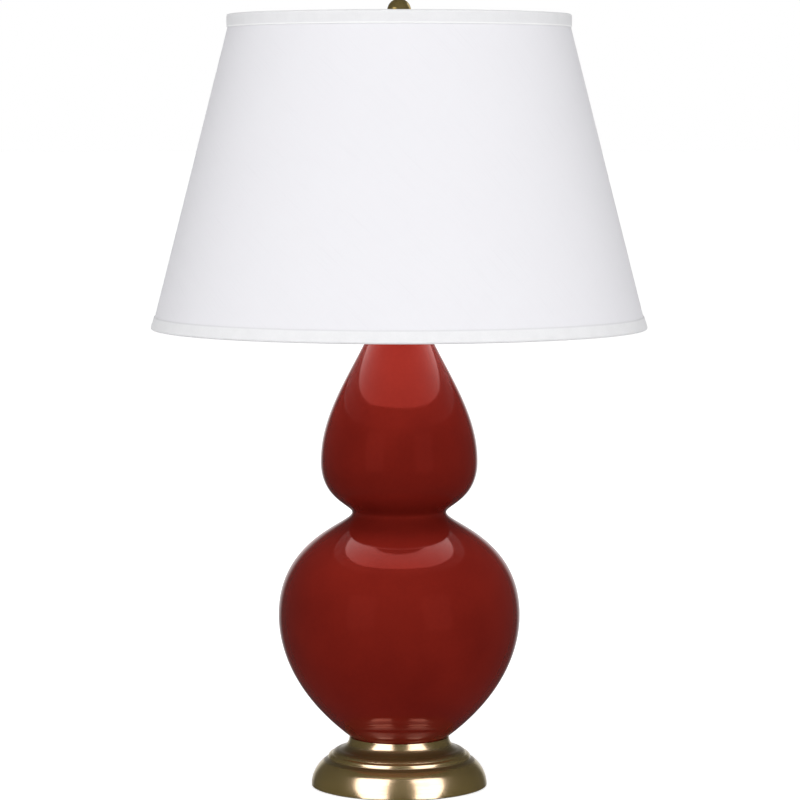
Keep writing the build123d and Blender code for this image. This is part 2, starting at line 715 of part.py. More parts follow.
def socket_core():
    """Moulded core with the switch inside, its spindle bearing and two terminal pockets."""
    pedestal = SHELL_SCREW_RADIUS - 1.0
    body = lathe_points(
        [
            (0, CORE_Z),
            (CORE_RADIUS - 1.5, CORE_Z),
            (CORE_RADIUS, CORE_Z + 1.5),
            (CORE_RADIUS, CORE_TOP - 2.5),
            (pedestal, CORE_TOP - 2.5),
            (pedestal, CORE_TOP),
            (0, CORE_TOP),
        ]
    )
    bearing = Pos(0, -CORE_RADIUS + SPINDLE_IN_CORE / 2 - 1, SWITCH_Z) * Rot(90, 0, 0)
    body -= bearing * Cylinder(SPINDLE_RADIUS + SPINDLE_FIT, SPINDLE_IN_CORE + 2)
    pocket = Box(2 * terminal_reach(), 7.0, 7.5)
    for side in (-1, 1):
        body -= Pos(side * CORE_RADIUS, 0, SWITCH_Z) * pocket
    return body


def terminal_reach():
    """Depth of a terminal pocket in the core."""
    return 3.6


def terminal_screws():
    """Two binding screws, one in each pocket of the core."""
    head, shank = 1.6, terminal_reach() - 2.2
    seat = CORE_RADIUS - terminal_reach()
    screws = []
    for side in (-1, 1):
        turn = Pos(side * seat, 0, SWITCH_Z) * Rot(0, side * 90, 0)
        body = turn * Pos(0, 0, shank / 2) * Cylinder(TERMINAL_SCREW_RADIUS / 2, shank)
        body += turn * Pos(0, 0, shank + head / 2) * Cylinder(TERMINAL_SCREW_RADIUS, head)
        body -= turn * Pos(0, 0, shank + head) * Box(0.7, 3 * TERMINAL_SCREW_RADIUS, 1.0)
        screws.append(body)
    return Compound(children=screws)


def screw_shell():
    """Threaded shell that takes the bulb, standing on the core."""
    inner = SHELL_SCREW_RADIUS
    low, top = CORE_TOP - 2.5, CORE_TOP - 2.5 + SCREW_SHELL_LENGTH
    outer = min(inner + SHELL_SCREW_WALL, CORE_RADIUS)
    tube = ring(inner, outer, low, top)
    floor = ring(SHELL_SCREW_RADIUS - 1.0 + FIT, inner, low, low + SHELL_SCREW_WALL)
    return tube + floor


def centre_contact():
    """Brass strip at the bottom of the screw shell, under the bulb's tip."""
    strip = Pos(0, 0, CORE_TOP + 0.2) * Box(5.0, 12.0, 0.4)
    pad = Pos(0, 0, CORE_TOP + 0.5) * Cylinder(3.0, 0.6)
    return strip + pad


def switch_spindle():
    """Spindle of the switch, from its bearing in the core out to the knob."""
    start = CORE_RADIUS - SPINDLE_IN_CORE + 0.5
    end = KNOB_Y + 0.6 * KNOB_LENGTH
    rod = Cylinder(SPINDLE_RADIUS, end - start)
    return Pos(0, -(start + end) / 2, SWITCH_Z) * Rot(90, 0, 0) * rod


def switch_knob():
    """Moulded turn knob, fluted round its grip, pressed on the spindle."""
    grip = 0.7 * KNOB_LENGTH
    neck = 0.62 * KNOB_RADIUS
    edge = 0.15 * KNOB_RADIUS
    knob = lathe_points(
        [
            (0, 0),
            (neck, 0),
            (neck, KNOB_LENGTH - grip),
            (KNOB_RADIUS, KNOB_LENGTH - grip + edge),
            (KNOB_RADIUS, KNOB_LENGTH - edge),
            (KNOB_RADIUS - edge, KNOB_LENGTH),
            (0, KNOB_LENGTH),
        ]
    )
    flute = Pos(KNOB_RADIUS + 0.2, 0, KNOB_LENGTH - grip / 2) * Cylinder(FLUTE_RADIUS, grip + 2)
    for i in range(KNOB_FLUTES):
        knob -= Rot(0, 0, i * 360 / KNOB_FLUTES) * flute
    knob -= Cylinder(SPINDLE_RADIUS, 2 * 0.6 * KNOB_LENGTH)
    return Pos(0, -KNOB_Y, SWITCH_Z) * Rot(90, 0, 0) * knob


# ---------------------------------------------------------------- bulb
def bulb_levels():
    """Heights of the cap's foot, the cap's rim and the glass's crown."""
    cap = BULB_Z + BULB_TIP
    return cap, cap + BULB_CAP_LENGTH, BULB_Z + BULB_LENGTH


def bulb_globe():
    """Frosted glass of a pear-shaped bulb, hollow, its neck cemented in the cap."""
    _, rim, crown = bulb_levels()
    neck = BULB_CAP_RADIUS - BULB_CAP_WALL - FIT
    foot = rim - BULB_NECK_IN_CAP
    wide = (BULB_RADIUS, crown - BULB_RADIUS)
    low = (BULB_NECK_RADIUS, rim + 2 * (BULB_NECK_RADIUS - neck))
    tall = wide[1] - low[1]
    flank = [low, (low[0], low[1] + 0.45 * tall), (wide[0], wide[1] - 0.5 * tall), wide]
    samples = [bezier_point(flank, i / 3) for i in range(3)]
    samples += [(BULB_RADIUS * math.cos(a), wide[1] + BULB_RADIUS * math.sin(a)) for a in (0, 0.5, 1, 1.3)]
    inside = inset([(neck, rim), *samples], BULB_GLASS)
    corners = [(0, crown), (0, crown - BULB_GLASS), *reversed(inside)]
    corners += [(neck - BULB_GLASS, foot), (neck, foot), (neck, rim), low]
    return lathe(
        Bezier(*[at(*p) for p in flank]),
        arc(wide, (0, crown), -BULB_RADIUS * (1 - math.sqrt(0.5))),
        Polyline(*[at(*p) for p in corners]),
    )


def bulb_cap():
    """Threaded cap of the bulb."""
    low, rim, _ = bulb_levels()
    inner = BULB_CAP_RADIUS - BULB_CAP_WALL
    return lathe_points(
        [
            (INSULATOR_RADIUS, low),
            (BULB_CAP_RADIUS - INSULATOR_HEIGHT, low),
            (BULB_CAP_RADIUS, low + INSULATOR_HEIGHT),
            (BULB_CAP_RADIUS, rim),
            (inner, rim),
            (inner, low + INSULATOR_HEIGHT),
            (inner - INSULATOR_HEIGHT, low + BULB_CAP_WALL),
            (INSULATOR_RADIUS, low + BULB_CAP_WALL),
        ]
    )


def bulb_insulator():
    """Black glass insulator at the foot of the cap."""
    low = bulb_levels()[0]
    foot, top = low - INSULATOR_HEIGHT, low + BULB_CAP_WALL
    return lathe_points(
        [
            (CONTACT_RADIUS, foot),
            ((CONTACT_RADIUS + INSULATOR_RADIUS) / 2, foot),
            (INSULATOR_RADIUS, low),
            (INSULATOR_RADIUS, top),
            (CONTACT_RADIUS, top),
        ]
    )


def bulb_contact():
    """Solder tip of the bulb, in the middle of the insulator."""
    low = bulb_levels()[0]
    radius, tip = CONTACT_RADIUS - GLUE, low - BULB_TIP
    return lathe_points([(0, tip), (radius / 2, tip), (radius, low - INSULATOR_HEIGHT), (radius, low), (0, low)])


# ---------------------------------------------------------------- shade and finial
def cone_skin(outside, thickness, low, high):
    """Conical skin under the fabric's surface, between two heights."""
    near, far = outside, outside + thickness
    return lathe_points(
        [
            (shade_radius(low) - far, low),
            (shade_radius(low) - near, low),
            (shade_radius(high) - near, high),
            (shade_radius(high) - far, high),
        ]
    )


def shade_cover():
    """White cloth cone of the shade, from ring to ring."""
    return cone_skin(0, FABRIC, BOTTOM_RING_Z, TOP_RING_Z)


def shade_lining():
    """Styrene backing that the cloth is laminated to."""
    return cone_skin(FABRIC + GLUE, STYRENE, BOTTOM_RING_Z, TOP_RING_Z)


def ring_radius(height):
    """Centre radius of the wire ring that lies inside the lining at a height."""
    return shade_radius(height) - SKIN - GLUE - RING_WIRE * math.hypot(1, SHADE_TAPER)


def shade_bottom_ring():
    """Wire ring in the shade's bottom edge."""
    return Pos(0, 0, BOTTOM_RING_Z) * Torus(ring_radius(BOTTOM_RING_Z), RING_WIRE)


def fitter_arm(wire, stop):
    """One arm of the fitter along +X, from the washer up to a stop radius."""
    level = WASHER_Z + FITTER_WASHER_THICKNESS / 2 + FITTER_ARM_WIRE / 2
    start = 0.75 * FITTER_WASHER_RADIUS
    bend = FITTER_WASHER_RADIUS + 8.0
    path = FilletPolyline((start, 0, level), (bend, 0, level), (stop, 0, TOP_RING_Z), radius=12.0)
    return sweep(Plane(origin=path @ 0, z_dir=path % 0) * Circle(wire), path=path)


def shade_top_ring():
    """Wire ring in the shade's top edge."""
    return Pos(0, 0, TOP_RING_Z) * Torus(ring_radius(TOP_RING_Z), RING_WIRE)


def shade_fitter():
    """Washer and arms that hang the shade on the harp, the arms welded to the top ring."""
    arm = fitter_arm(FITTER_ARM_WIRE, ring_radius(TOP_RING_Z)) - shade_top_ring()
    low, top = WASHER_Z, WASHER_Z + FITTER_WASHER_THICKNESS
    fitter = ring(0, FITTER_WASHER_RADIUS, low, top)
    for i in range(FITTER_ARMS):
        fitter += Rot(0, 0, 90 + i * 360 / FITTER_ARMS) * arm
    return fitter - ring(0, STUD_RADIUS + FITTER_HOLE_PLAY, low - 1, top + 1)


def shade_top_trim():
    """Cloth tape rolled over the top ring, upright outside, notched inside for the arms."""
    low, high = SHADE_TOP - TRIM_HEIGHT, SHADE_TOP
    face = shade_radius(TOP_RING_Z) + TOP_TAPE_STAND + TRIM_CLOTH
    inner = ring_radius(TOP_RING_Z) - RING_WIRE - GLUE - TRIM_CLOTH
    flap = low + TAPE_TURN_IN
    tape = lathe_points(
        [
            (shade_radius(low) + GLUE, low),
            (shade_radius(low) + GLUE + TRIM_CLOTH, low),
            (face, high - TAPE_ROLL),
            (face - TAPE_ROLL / 2, high),
            (inner + TAPE_ROLL / 2, high),
            (inner, high - TAPE_ROLL),
            (inner, flap),
            (inner + TRIM_CLOTH, flap),
            (inner + TRIM_CLOTH, high - TRIM_CLOTH),
            (shade_radius(TOP_RING_Z) + GLUE, high - TRIM_CLOTH),
            (shade_radius(TOP_RING_Z) + GLUE, TOP_RING_Z),
        ]
    )
    notch = fitter_arm(FITTER_ARM_WIRE + ARM_NOTCH, ring_radius(TOP_RING_Z))
    for i in range(FITTER_ARMS):
        tape -= Rot(0, 0, 90 + i * 360 / FITTER_ARMS) * notch
    return tape


def shade_bottom_trim():
    """Cloth tape rolled under the bottom ring, flared a little where it turns in."""
    low, high = SHADE_BOTTOM, SHADE_BOTTOM + TRIM_HEIGHT
    face = shade_radius(BOTTOM_RING_Z) + BOTTOM_TAPE_STAND + TRIM_CLOTH
    inner = ring_radius(BOTTOM_RING_Z) - RING_WIRE - GLUE - TRIM_CLOTH
    flap = high - TAPE_TURN_IN
    return lathe_points(
        [
            (shade_radius(high) + GLUE, high),
            (shade_radius(BOTTOM_RING_Z) + GLUE, BOTTOM_RING_Z),
            (shade_radius(BOTTOM_RING_Z) + GLUE, low + TRIM_CLOTH),
            (inner + TRIM_CLOTH, low + TRIM_CLOTH),
            (inner + TRIM_CLOTH, flap),
            (inner, flap),
            (inner, low + TAPE_ROLL),
            (inner + TAPE_ROLL / 2, low),
            (face - TAPE_ROLL / 2, low),
            (face, low + TAPE_ROLL),
            (shade_radius(high) + GLUE + TRIM_CLOTH, high),
        ]
    )


def finial():
    """Turned brass finial: a flange, a neck and a ball, tapped for the harp's stud."""
    top = FINIAL_Z + FINIAL_HEIGHT
    middle = top - FINIAL_BALL
    under = middle - math.sqrt(FINIAL_BALL**2 - FINIAL_NECK**2)
    rim = FINIAL_Z + 2.0
    hole = STUD_RADIUS + FIT
    body = lathe(
        line((0, FINIAL_Z), (FINIAL_FLANGE, FINIAL_Z)),
        line((FINIAL_FLANGE, FINIAL_Z), (FINIAL_FLANGE, rim)),
        arc((FINIAL_FLANGE, rim), (FINIAL_NECK, under), 0.12 * (FINIAL_FLANGE - FINIAL_NECK)),
        ThreePointArc(at(FINIAL_NECK, under), at(FINIAL_BALL, middle), at(0, top)),
        line((0, top), (0, FINIAL_Z)),
    )
    return body - ring(0, hole, FINIAL_Z - 1, FINIAL_Z + FINIAL_HOLE_DEPTH)


# ---------------------------------------------------------------- build
PIECES = {
    "felt_pad": felt_pad,
    "base_shell": base_shell,
    "base_weight": base_weight,
    "cord_bushing": cord_bushing,
    "lamp_pipe": lamp_pipe,
    "bottom_washer": bottom_washer,
    "bottom_nut": bottom_nut,
    "foot_gasket": foot_gasket,
    "gourd_body": gourd_body,
    "neck_gasket": neck_gasket,
    "vase_cap": vase_cap,
    "neck_riser": neck_riser,
    "harp_saddle": harp_saddle,
    "harp_frame": harp_frame,
    "harp_sleeve_left": lambda: harp_sleeve(-1),
    "harp_sleeve_right": lambda: harp_sleeve(1),
    "harp_stud": harp_stud,
    "socket_cap": socket_cap,
    "cap_set_screw": cap_set_screw,
    "socket_shell": socket_shell,
    "socket_liner": socket_liner,
    "socket_core": socket_core,
    "terminal_screws": terminal_screws,
    "screw_shell": screw_shell,
    "centre_contact": centre_contact,
    "switch_spindle": switch_spindle,
    "switch_knob": switch_knob,
    "bulb_globe": bulb_globe,
    "bulb_cap": bulb_cap,
    "bulb_insulator": bulb_insulator,
    "bulb_contact": bulb_contact,
    "shade_fitter": shade_fitter,
    "shade_top_ring": shade_top_ring,
    "shade_bottom_ring": shade_bottom_ring,
    "shade_cover": shade_cover,
    "shade_lining": shade_lining,
    "shade_top_trim": shade_top_trim,
    "shade_bottom_trim": shade_bottom_trim,
    "finial": finial,
}


def main():
    """Builds every piece and writes it as one STEP file under its own name."""
    os.makedirs("parts", exist_ok=True)
    for name, build in PIECES.items():
        export_step(build(), os.path.join("parts", name + ".step"))


main()
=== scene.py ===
"""Double gourd table lamp: its pieces turned, drawn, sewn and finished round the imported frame.

Sizes of the sub-assemblies are millimetres, as on a maker's drawing, but for the pitch and depth of
threads and flutes, which go to the lathe in metres. Finishes, studio and meshes are in metres.
The lamp stands on z = 0, its axis is Z, its front looks towards -Y.
"""

import logging
import math
from dataclasses import dataclass, field, replace
from enum import Enum
from functools import lru_cache
from typing import Callable, Iterable, Sequence, Union

import bmesh
import bpy
from mathutils import Matrix, Vector


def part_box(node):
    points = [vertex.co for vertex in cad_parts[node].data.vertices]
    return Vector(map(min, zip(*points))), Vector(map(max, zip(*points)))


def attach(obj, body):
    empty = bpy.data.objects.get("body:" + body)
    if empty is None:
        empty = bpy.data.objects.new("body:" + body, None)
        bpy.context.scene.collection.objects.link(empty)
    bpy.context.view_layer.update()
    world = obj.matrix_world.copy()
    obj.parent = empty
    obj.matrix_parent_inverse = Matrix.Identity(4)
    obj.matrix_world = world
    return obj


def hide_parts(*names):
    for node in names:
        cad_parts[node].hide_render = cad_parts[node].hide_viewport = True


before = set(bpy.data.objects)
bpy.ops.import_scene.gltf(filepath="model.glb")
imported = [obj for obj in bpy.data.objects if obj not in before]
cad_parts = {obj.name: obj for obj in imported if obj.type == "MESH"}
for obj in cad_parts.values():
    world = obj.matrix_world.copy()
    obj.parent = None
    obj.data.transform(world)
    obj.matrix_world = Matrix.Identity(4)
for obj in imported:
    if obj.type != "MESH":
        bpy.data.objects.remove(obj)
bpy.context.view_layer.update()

MM = 0.001
log = logging.getLogger("lamp")

Point = tuple[float, float]
Colour = tuple[float, float, float]
Band = tuple[float, float, float, float]
Bite = Callable[[float, float], float]
Grid = list[list[bmesh.types.BMVert]]
Value = Union["Sock", float, int, Sequence[float], str, bpy.types.ID]


class Slot(Enum):
    """Material slots of the record, one finish each."""

    FELT = "felt"
    ANTIQUE_BRASS = "antique_brass"
    CAST_IRON = "cast_iron"
    BUSHING = "bushing_plastic"
    PLATED_STEEL = "plated_steel"
    RUBBER = "rubber"
    GLAZE = "red_glaze"
    HARP_BRASS = "harp_brass"
    SOCKET_BRASS = "socket_brass"
    CARD = "card"
    PHENOLIC = "phenolic"
    CONTACT_BRASS = "contact_brass"
    FROSTED_GLASS = "frosted_glass"
    BULB_ALUMINIUM = "bulb_aluminium"
    BLACK_GLASS = "black_glass"
    SOLDER = "solder"
    FITTER_WIRE = "fitter_wire"
    SHADE_CLOTH = "shade_cloth"
    STYRENE = "shade_styrene"
    TAPE = "shade_tape"


class Body(Enum):
    """Moving bodies of the frame that pieces ride on."""

    LAMP = "lamp"
    SWITCH = "switch"
    BULB = "bulb"
    SLEEVE_LEFT = "sleeve_left"
    SLEEVE_RIGHT = "sleeve_right"
    SHADE = "shade"
    FINIAL = "finial"


# ---------------------------------------------------------------- node trees
class Sock:
    """An output socket that does its sums with Python's own operators."""

    def __init__(self, book: "Book", socket: bpy.types.NodeSocket | None) -> None:
        """Wraps a socket.

        Args:
            book: the tree's writer.
            socket: the output that the expression stands for, or none.
        """
        self.book = book
        self.socket = socket

    def __add__(self, other: Value) -> "Sock":
        """Sum."""
        return self.book.maths("ADD", self, other)

    def __sub__(self, other: Value) -> "Sock":
        """Difference."""
        return self.book.maths("SUBTRACT", self, other)

    def __rsub__(self, other: Value) -> "Sock":
        """Reflected difference, as in 1 - mask."""
        return self.book.maths("SUBTRACT", other, self)

    def __mul__(self, other: Value) -> "Sock":
        """Product."""
        return self.book.maths("MULTIPLY", self, other)

    def __truediv__(self, other: Value) -> "Sock":
        """Quotient."""
        return self.book.maths("DIVIDE", self, other)

    def __rtruediv__(self, other: Value) -> "Sock":
        """Reflected quotient."""
        return self.book.maths("DIVIDE", other, self)

    def __pow__(self, other: Value) -> "Sock":
        """Power."""
        return self.book.maths("POWER", self, other)

    def __mod__(self, other: Value) -> "Sock":
        """Remainder that is never negative."""
        return self.book.maths("FLOORED_MODULO", self, other)

    __radd__ = __add__
    __rmul__ = __mul__


class Book:
    """Writes one node tree; every node in this file comes from add()."""

    def __init__(self, tree: bpy.types.NodeTree) -> None:
        """Opens a tree for writing.

        Args:
            tree: the empty tree to write in.
        """
        self.tree = tree

    @classmethod
    def of(cls, owner: bpy.types.Material | bpy.types.World | bpy.types.Light) -> "Book":
        """A writer for the emptied node tree of a material, a world or a lamp.

        Args:
            owner: what the tree belongs to.

        Returns:
            The writer.
        """
        owner.use_nodes = True
        owner.node_tree.nodes.clear()
        return cls(owner.node_tree)

    def add(
        self,
        kind: str,
        settings: dict[str, object] | None = None,
        inputs: dict[str | int, Value] | None = None,
        out: str | int = 0,
    ) -> Sock:
        """Adds a node, sets it up and links it.

        Args:
            kind: the node's type name.
            settings: its properties.
            inputs: values or sockets for its inputs, by name or number.
            out: the output that is handed back.

        Returns:
            The chosen output, or an empty one where the node has none.
        """
        node = self.tree.nodes.new(kind)
        for name, value in (settings or {}).items():
            setattr(node, name, value)
        for key, value in (inputs or {}).items():
            if isinstance(value, Sock):
                self.tree.links.new(value.socket, node.inputs[key])
            elif isinstance(value, tuple) and len(value) == 3 and node.inputs[key].type == "RGBA":
                node.inputs[key].default_value = (*value, 1.0)
            else:
                node.inputs[key].default_value = value
        return Sock(self, node.outputs[out] if len(node.outputs) else None)

    def also(self, sock: Sock, name: str | int) -> Sock:
        """Another output of the node that a socket belongs to."""
        return Sock(self, sock.socket.node.outputs[name])

    def maths(self, operation: str, first: Value, second: Value = 0.0) -> Sock:
        """A Math node on one or two numbers."""
        return self.add("ShaderNodeMath", {"operation": operation}, {0: first, 1: second})

    def vectors(self, operation: str, first: Value, second: Value = (0.0, 0.0, 0.0)) -> Sock:
        """A Vector Math node on one or two vectors."""
        return self.add("ShaderNodeVectorMath", {"operation": operation}, {0: first, 1: second})

    def vector(self, x: Value, y: Value, z: Value) -> Sock:
        """A vector from three numbers."""
        return self.add("ShaderNodeCombineXYZ", None, {0: x, 1: y, 2: z})

    def blend(self, share: Value, first: Value, second: Value) -> Sock:
        """A Mix node on two colours."""
        settings = {"data_type": "RGBA", "clamp_factor": True}
        return self.add("ShaderNodeMix", settings, {0: share, 6: first, 7: second}, out=2)

    def between(
        self, value: Value, low: float, high: float, low_to: float = 0.0, high_to: float = 1.0
    ) -> Sock:
        """A value brought from one range to another, smoothly and without passing its ends."""
        settings = {"interpolation_type": "SMOOTHSTEP"}
        return self.add("ShaderNodeMapRange", settings, {0: value, 1: low, 2: high, 3: low_to, 4: high_to})

    def noise(
        self, place: Value, scale: float, detail: float = 2.0, rough: float = 0.5, colour: bool = False
    ) -> Sock:
        """A noise field on a place, about 0 to 1."""
        inputs = {"Vector": place, "Scale": scale, "Detail": detail, "Roughness": rough}
        return self.add("ShaderNodeTexNoise", {"noise_dimensions": "3D"}, inputs, out=1 if colour else 0)

    def bump(self, height: Value, distance: float) -> Sock:
        """A Bump node at full strength."""
        return self.add("ShaderNodeBump", None, {"Height": height, "Distance": distance, "Strength": 1.0})


# ---------------------------------------------------------------- outlines and paths
class Pen:
    """Draws a (radius, height) outline in millimetres, run by run, and eases its corners.

    Outlines go anticlockwise, up the outside of the metal, so that faces look outwards. Points nearer
    than `same` count as one, an ease takes up at most `ease_share` of a run, and a support point
    stands off each ease by `beside_share` of it.
    """

    same = 1e-4
    ease_share = 0.45
    beside_share = 0.7

    def __init__(self, radius: float, height: float) -> None:
        """Sets the pen down.

        Args:
            radius: where the pen starts, off the axis.
            height: where the pen starts, above the table.
        """
        self.tip: Point = (radius, height)
        self.runs: list[list[Point]] = []
        self.eases: list[float] = []
        self.closed = False

    def trace(self, points: Iterable[Point], ease: float = 0.0) -> "Pen":
        """Adds a run through points; ease rounds the corner at its end.

        Args:
            points: the run's points, after the pen's tip.
            ease: how far from the corner at its end the rounding starts.

        Returns:
            This pen.
        """
        self.runs.append([self.tip, *points])
        self.eases.append(ease)
        self.tip = self.runs[-1][-1]
        return self

    def line(self, radius: float, height: float, ease: float = 0.0, steps: int = 1) -> "Pen":
        """Adds a straight run, in several steps where threads or flutes need rows.

        Args:
            radius: where it ends, off the axis.
            height: where it ends, above the table.
            ease: how far from the corner at its end the rounding starts.
            steps: how many chords it has.

        Returns:
            This pen.
        """
        (r, z) = self.tip
        ways = [(i + 1) / steps for i in range(steps)]
        return self.trace([(r + (radius - r) * w, z + (height - z) * w) for w in ways], ease)

    def arc(self, radius: float, height: float, rise: float, ease: float = 0.0, steps: int = 12) -> "Pen":
        """Adds an arc that stands off to the left of its chord by rise.

        Args:
            radius: where it ends, off the axis.
            height: where it ends, above the table.
            rise: how far its middle stands off; below 0 it stands off to the right.
            ease: how far from the corner at its end the rounding starts.
            steps: how many chords it has.

        Returns:
            This pen.
        """
        (r0, z0), (r1, z1) = self.tip, (radius, height)
        run, climb = r1 - r0, z1 - z0
        chord = math.hypot(run, climb)
        size = (chord**2 / 4 + rise**2) / (2 * abs(rise))
        side = math.copysign(1.0, rise)
        left = (-climb / chord, run / chord)
        middle = ((r0 + r1) / 2, (z0 + z1) / 2)
        centre = tuple(m - side * (size - abs(rise)) * n for m, n in zip(middle, left))
        start = math.atan2(z0 - centre[1], r0 - centre[0])
        sweep = 2 * math.asin(min(1.0, chord / (2 * size)))
        sweep = 2 * math.pi - sweep if abs(rise) > size else sweep
        turns = [start - side * sweep * (i + 1) / steps for i in range(steps)]
        points = [(centre[0] + size * math.cos(t), centre[1] + size * math.sin(t)) for t in turns]
        return self.trace([*points[:-1], (r1, z1)], ease)

    def cubic(self, a: Point, b: Point, end: Point, ease: float = 0.0, steps: int = 24) -> "Pen":
        """Adds a cubic curve with two handles.

        Args:
            a: the first handle.
            b: the second handle.
            end: where it ends.
            ease: how far from the corner at its end the rounding starts.
            steps: how many chords it has.

        Returns:
            This pen.
        """
        points = []
        for i in range(1, steps + 1):
            t = i / steps
            weights = ((1 - t) ** 3, 3 * (1 - t) ** 2 * t, 3 * (1 - t) * t**2, t**3)
            handles = (self.tip, a, b, end)
            points.append(tuple(sum(w * p[k] for w, p in zip(weights, handles)) for k in (0, 1)))
        return self.trace(points, ease)

    def drawn(self, first: int = 0) -> list[Point]:
        """The points drawn so far from a run on, with their corners not yet eased."""
        return [point for run in self.runs[first:] for point in run[1:]]

    def close(self, ease: float = 0.0, first: float = 0.0) -> "Pen":
        """Draws back to the start; first eases the corner there.

        Args:
            ease: rounding of the corner at the pen's tip.
            first: rounding of the corner at the start.

        Returns:
            This pen.
        """
        self.closed = True
        start = self.runs[0][0]
        if math.dist(start, self.tip) > 0.01 * self.same:
            self.eases[-1] = ease
            self.line(*start, ease=first)
        else:
            self.eases[-1] = first
        return self

    @staticmethod
    def _length(run: list[Point]) -> float:
        """Length of a run."""
        return sum(math.dist(a, b) for a, b in zip(run, run[1:]))

    @classmethod
    def _cut(cls, run: list[Point], back: float) -> list[Point]:
        """A run without the last of its length, with a support point beside the cut.

        Args:
            run: the run's points.
            back: the length that comes off its end.

        Returns:
            The shorter run.
        """
        run = list(run)
        while len(run) > 2 and math.dist(run[-2], run[-1]) <= back:
            back -= math.dist(run[-2], run[-1])
            run.pop()
        (r0, z0), (r1, z1) = run[-2], run[-1]
        share = min(0.98, back / max(1e-9, math.dist(run[-2], run[-1])))
        r1, z1 = run[-1] = (r1 + (r0 - r1) * share, z1 + (z0 - z1) * share)
        if math.dist(run[-2], run[-1]) > 2.5 * back > 0:
            beside = cls.beside_share * back / math.dist(run[-2], run[-1])
            run.insert(-1, (r1 + (r0 - r1) * beside, z1 + (z0 - z1) * beside))
        return run

    def points(self) -> list[Point]:
        """The outline's points with every corner eased.

        Returns:
            Points in millimetres; a closed outline ends where it starts.
        """
        runs = [list(run) for run in self.runs]
        rounds: dict[int, list[Point]] = {}
        for i, ease in enumerate(self.eases):
            after = (i + 1) % len(runs) if self.closed else i + 1
            if ease <= 0 or after >= len(runs):
                continue
            corner = runs[i][-1]
            shorter = min(self._length(self.runs[i]), self._length(self.runs[after]))
            back = min(ease, self.ease_share * shorter)
            runs[i] = self._cut(runs[i], back)
            runs[after] = self._cut(runs[after][::-1], back)[::-1]
            a, b = runs[i][-1], runs[after][0]
            rounds[i] = [
                tuple((1 - t) ** 2 * a[k] + 2 * t * (1 - t) * corner[k] + t**2 * b[k] for k in (0, 1))
                for t in (0.25, 0.5, 0.75)
            ]
        drawn: list[Point] = []
        for i, run in enumerate(runs):
            for point in [*run, *rounds.get(i, [])]:
                if not drawn or math.dist(point, drawn[-1]) > self.same:
                    drawn.append(point)
        if self.closed:
            rest = drawn[:-1] if math.dist(drawn[0], drawn[-1]) < self.same else drawn
            drawn = [*rest, drawn[0]]
        return drawn


def offset(points: Sequence[Point], wall: float) -> list[Point]:
    """Points moved to the left of their path by a wall's thickness.

    Args:
        points: an open outline.
        wall: thickness in millimetres.

    Returns:
        The moved points.
    """
    moved = []
    for i, (radius, height) in enumerate(points):
        before, after = points[max(i - 1, 0)], points[min(i + 1, len(points) - 1)]
        run, climb = after[0] - before[0], after[1] - before[1]
        length = math.hypot(run, climb) or 1.0
        moved.append((radius - wall * climb / length, height + wall * run / length))
    return moved


def bent(places: Sequence[Sequence[float]], radii: Sequence[float], steps: int = 12) -> list[Vector]:
    """A wire's centre line: straight runs with a round bend at each inner corner.

    Args:
        places: points in millimetres.
        radii: one bend radius for each inner corner.
        steps: chords in each bend.

    Returns:
        Points along the wire, in millimetres.
    """
    points = [Vector(c) for c in places]
    path = [points[0]]
    for before, corner, after, radius in zip(points, points[1:], points[2:], radii):
        a, b = (before - corner).normalized(), (after - corner).normalized()
        half = a.angle(b) / 2
        centre = corner + (a + b).normalized() * radius / math.sin(half)
        start = corner + a * radius / math.tan(half) - centre
        end = corner + b * radius / math.tan(half) - centre
        start.normalize()
        end.normalize()
        path += [centre + start.slerp(end, i / steps) * radius for i in range(steps + 1)]
    return [*path, points[-1]]


@lru_cache(maxsize=None)
def corners(node: str) -> tuple[Vector, Vector]:
    """Lowest and highest corner of a CAD node, in millimetres."""
    low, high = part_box(node)
    return (low / MM).freeze(), (high / MM).freeze()


def span(node: str) -> tuple[float, float]:
    """Lowest and highest level of a CAD node, in millimetres."""
    low, high = corners(node)
    return low.z, high.z


def reach(node: str) -> float:
    """How far a CAD node reaches towards +X, in millimetres: a turned piece's radius."""
    return corners(node)[1].x


# ---------------------------------------------------------------- geometry trees
def link(name: str, data: bpy.types.ID) -> bpy.types.Object:
    """A new object of the scene for a mesh, a lamp's data or a camera's.

    Args:
        name: the object's name.
        data: what it shows.

    Returns:
        The object.
    """
    made = bpy.data.objects.new(name, data)
    bpy.context.scene.collection.objects.link(made)
    return made


def cast(name: str, shape: bmesh.types.BMesh) -> bpy.types.Object:
    """A new mesh object of the scene from a bmesh, which is used up.

    Args:
        name: name of the object and of its mesh.
        shape: the bmesh.

    Returns:
        The object.
    """
    mesh = bpy.data.meshes.new(name)
    shape.to_mesh(mesh)
    shape.free()
    return link(name, mesh)


def settled(piece: bpy.types.Object) -> bpy.types.Mesh:
    """A plain mesh of a piece as its modifiers leave it."""
    return bpy.data.meshes.new_from_object(piece.evaluated_get(bpy.context.evaluated_depsgraph_get()))


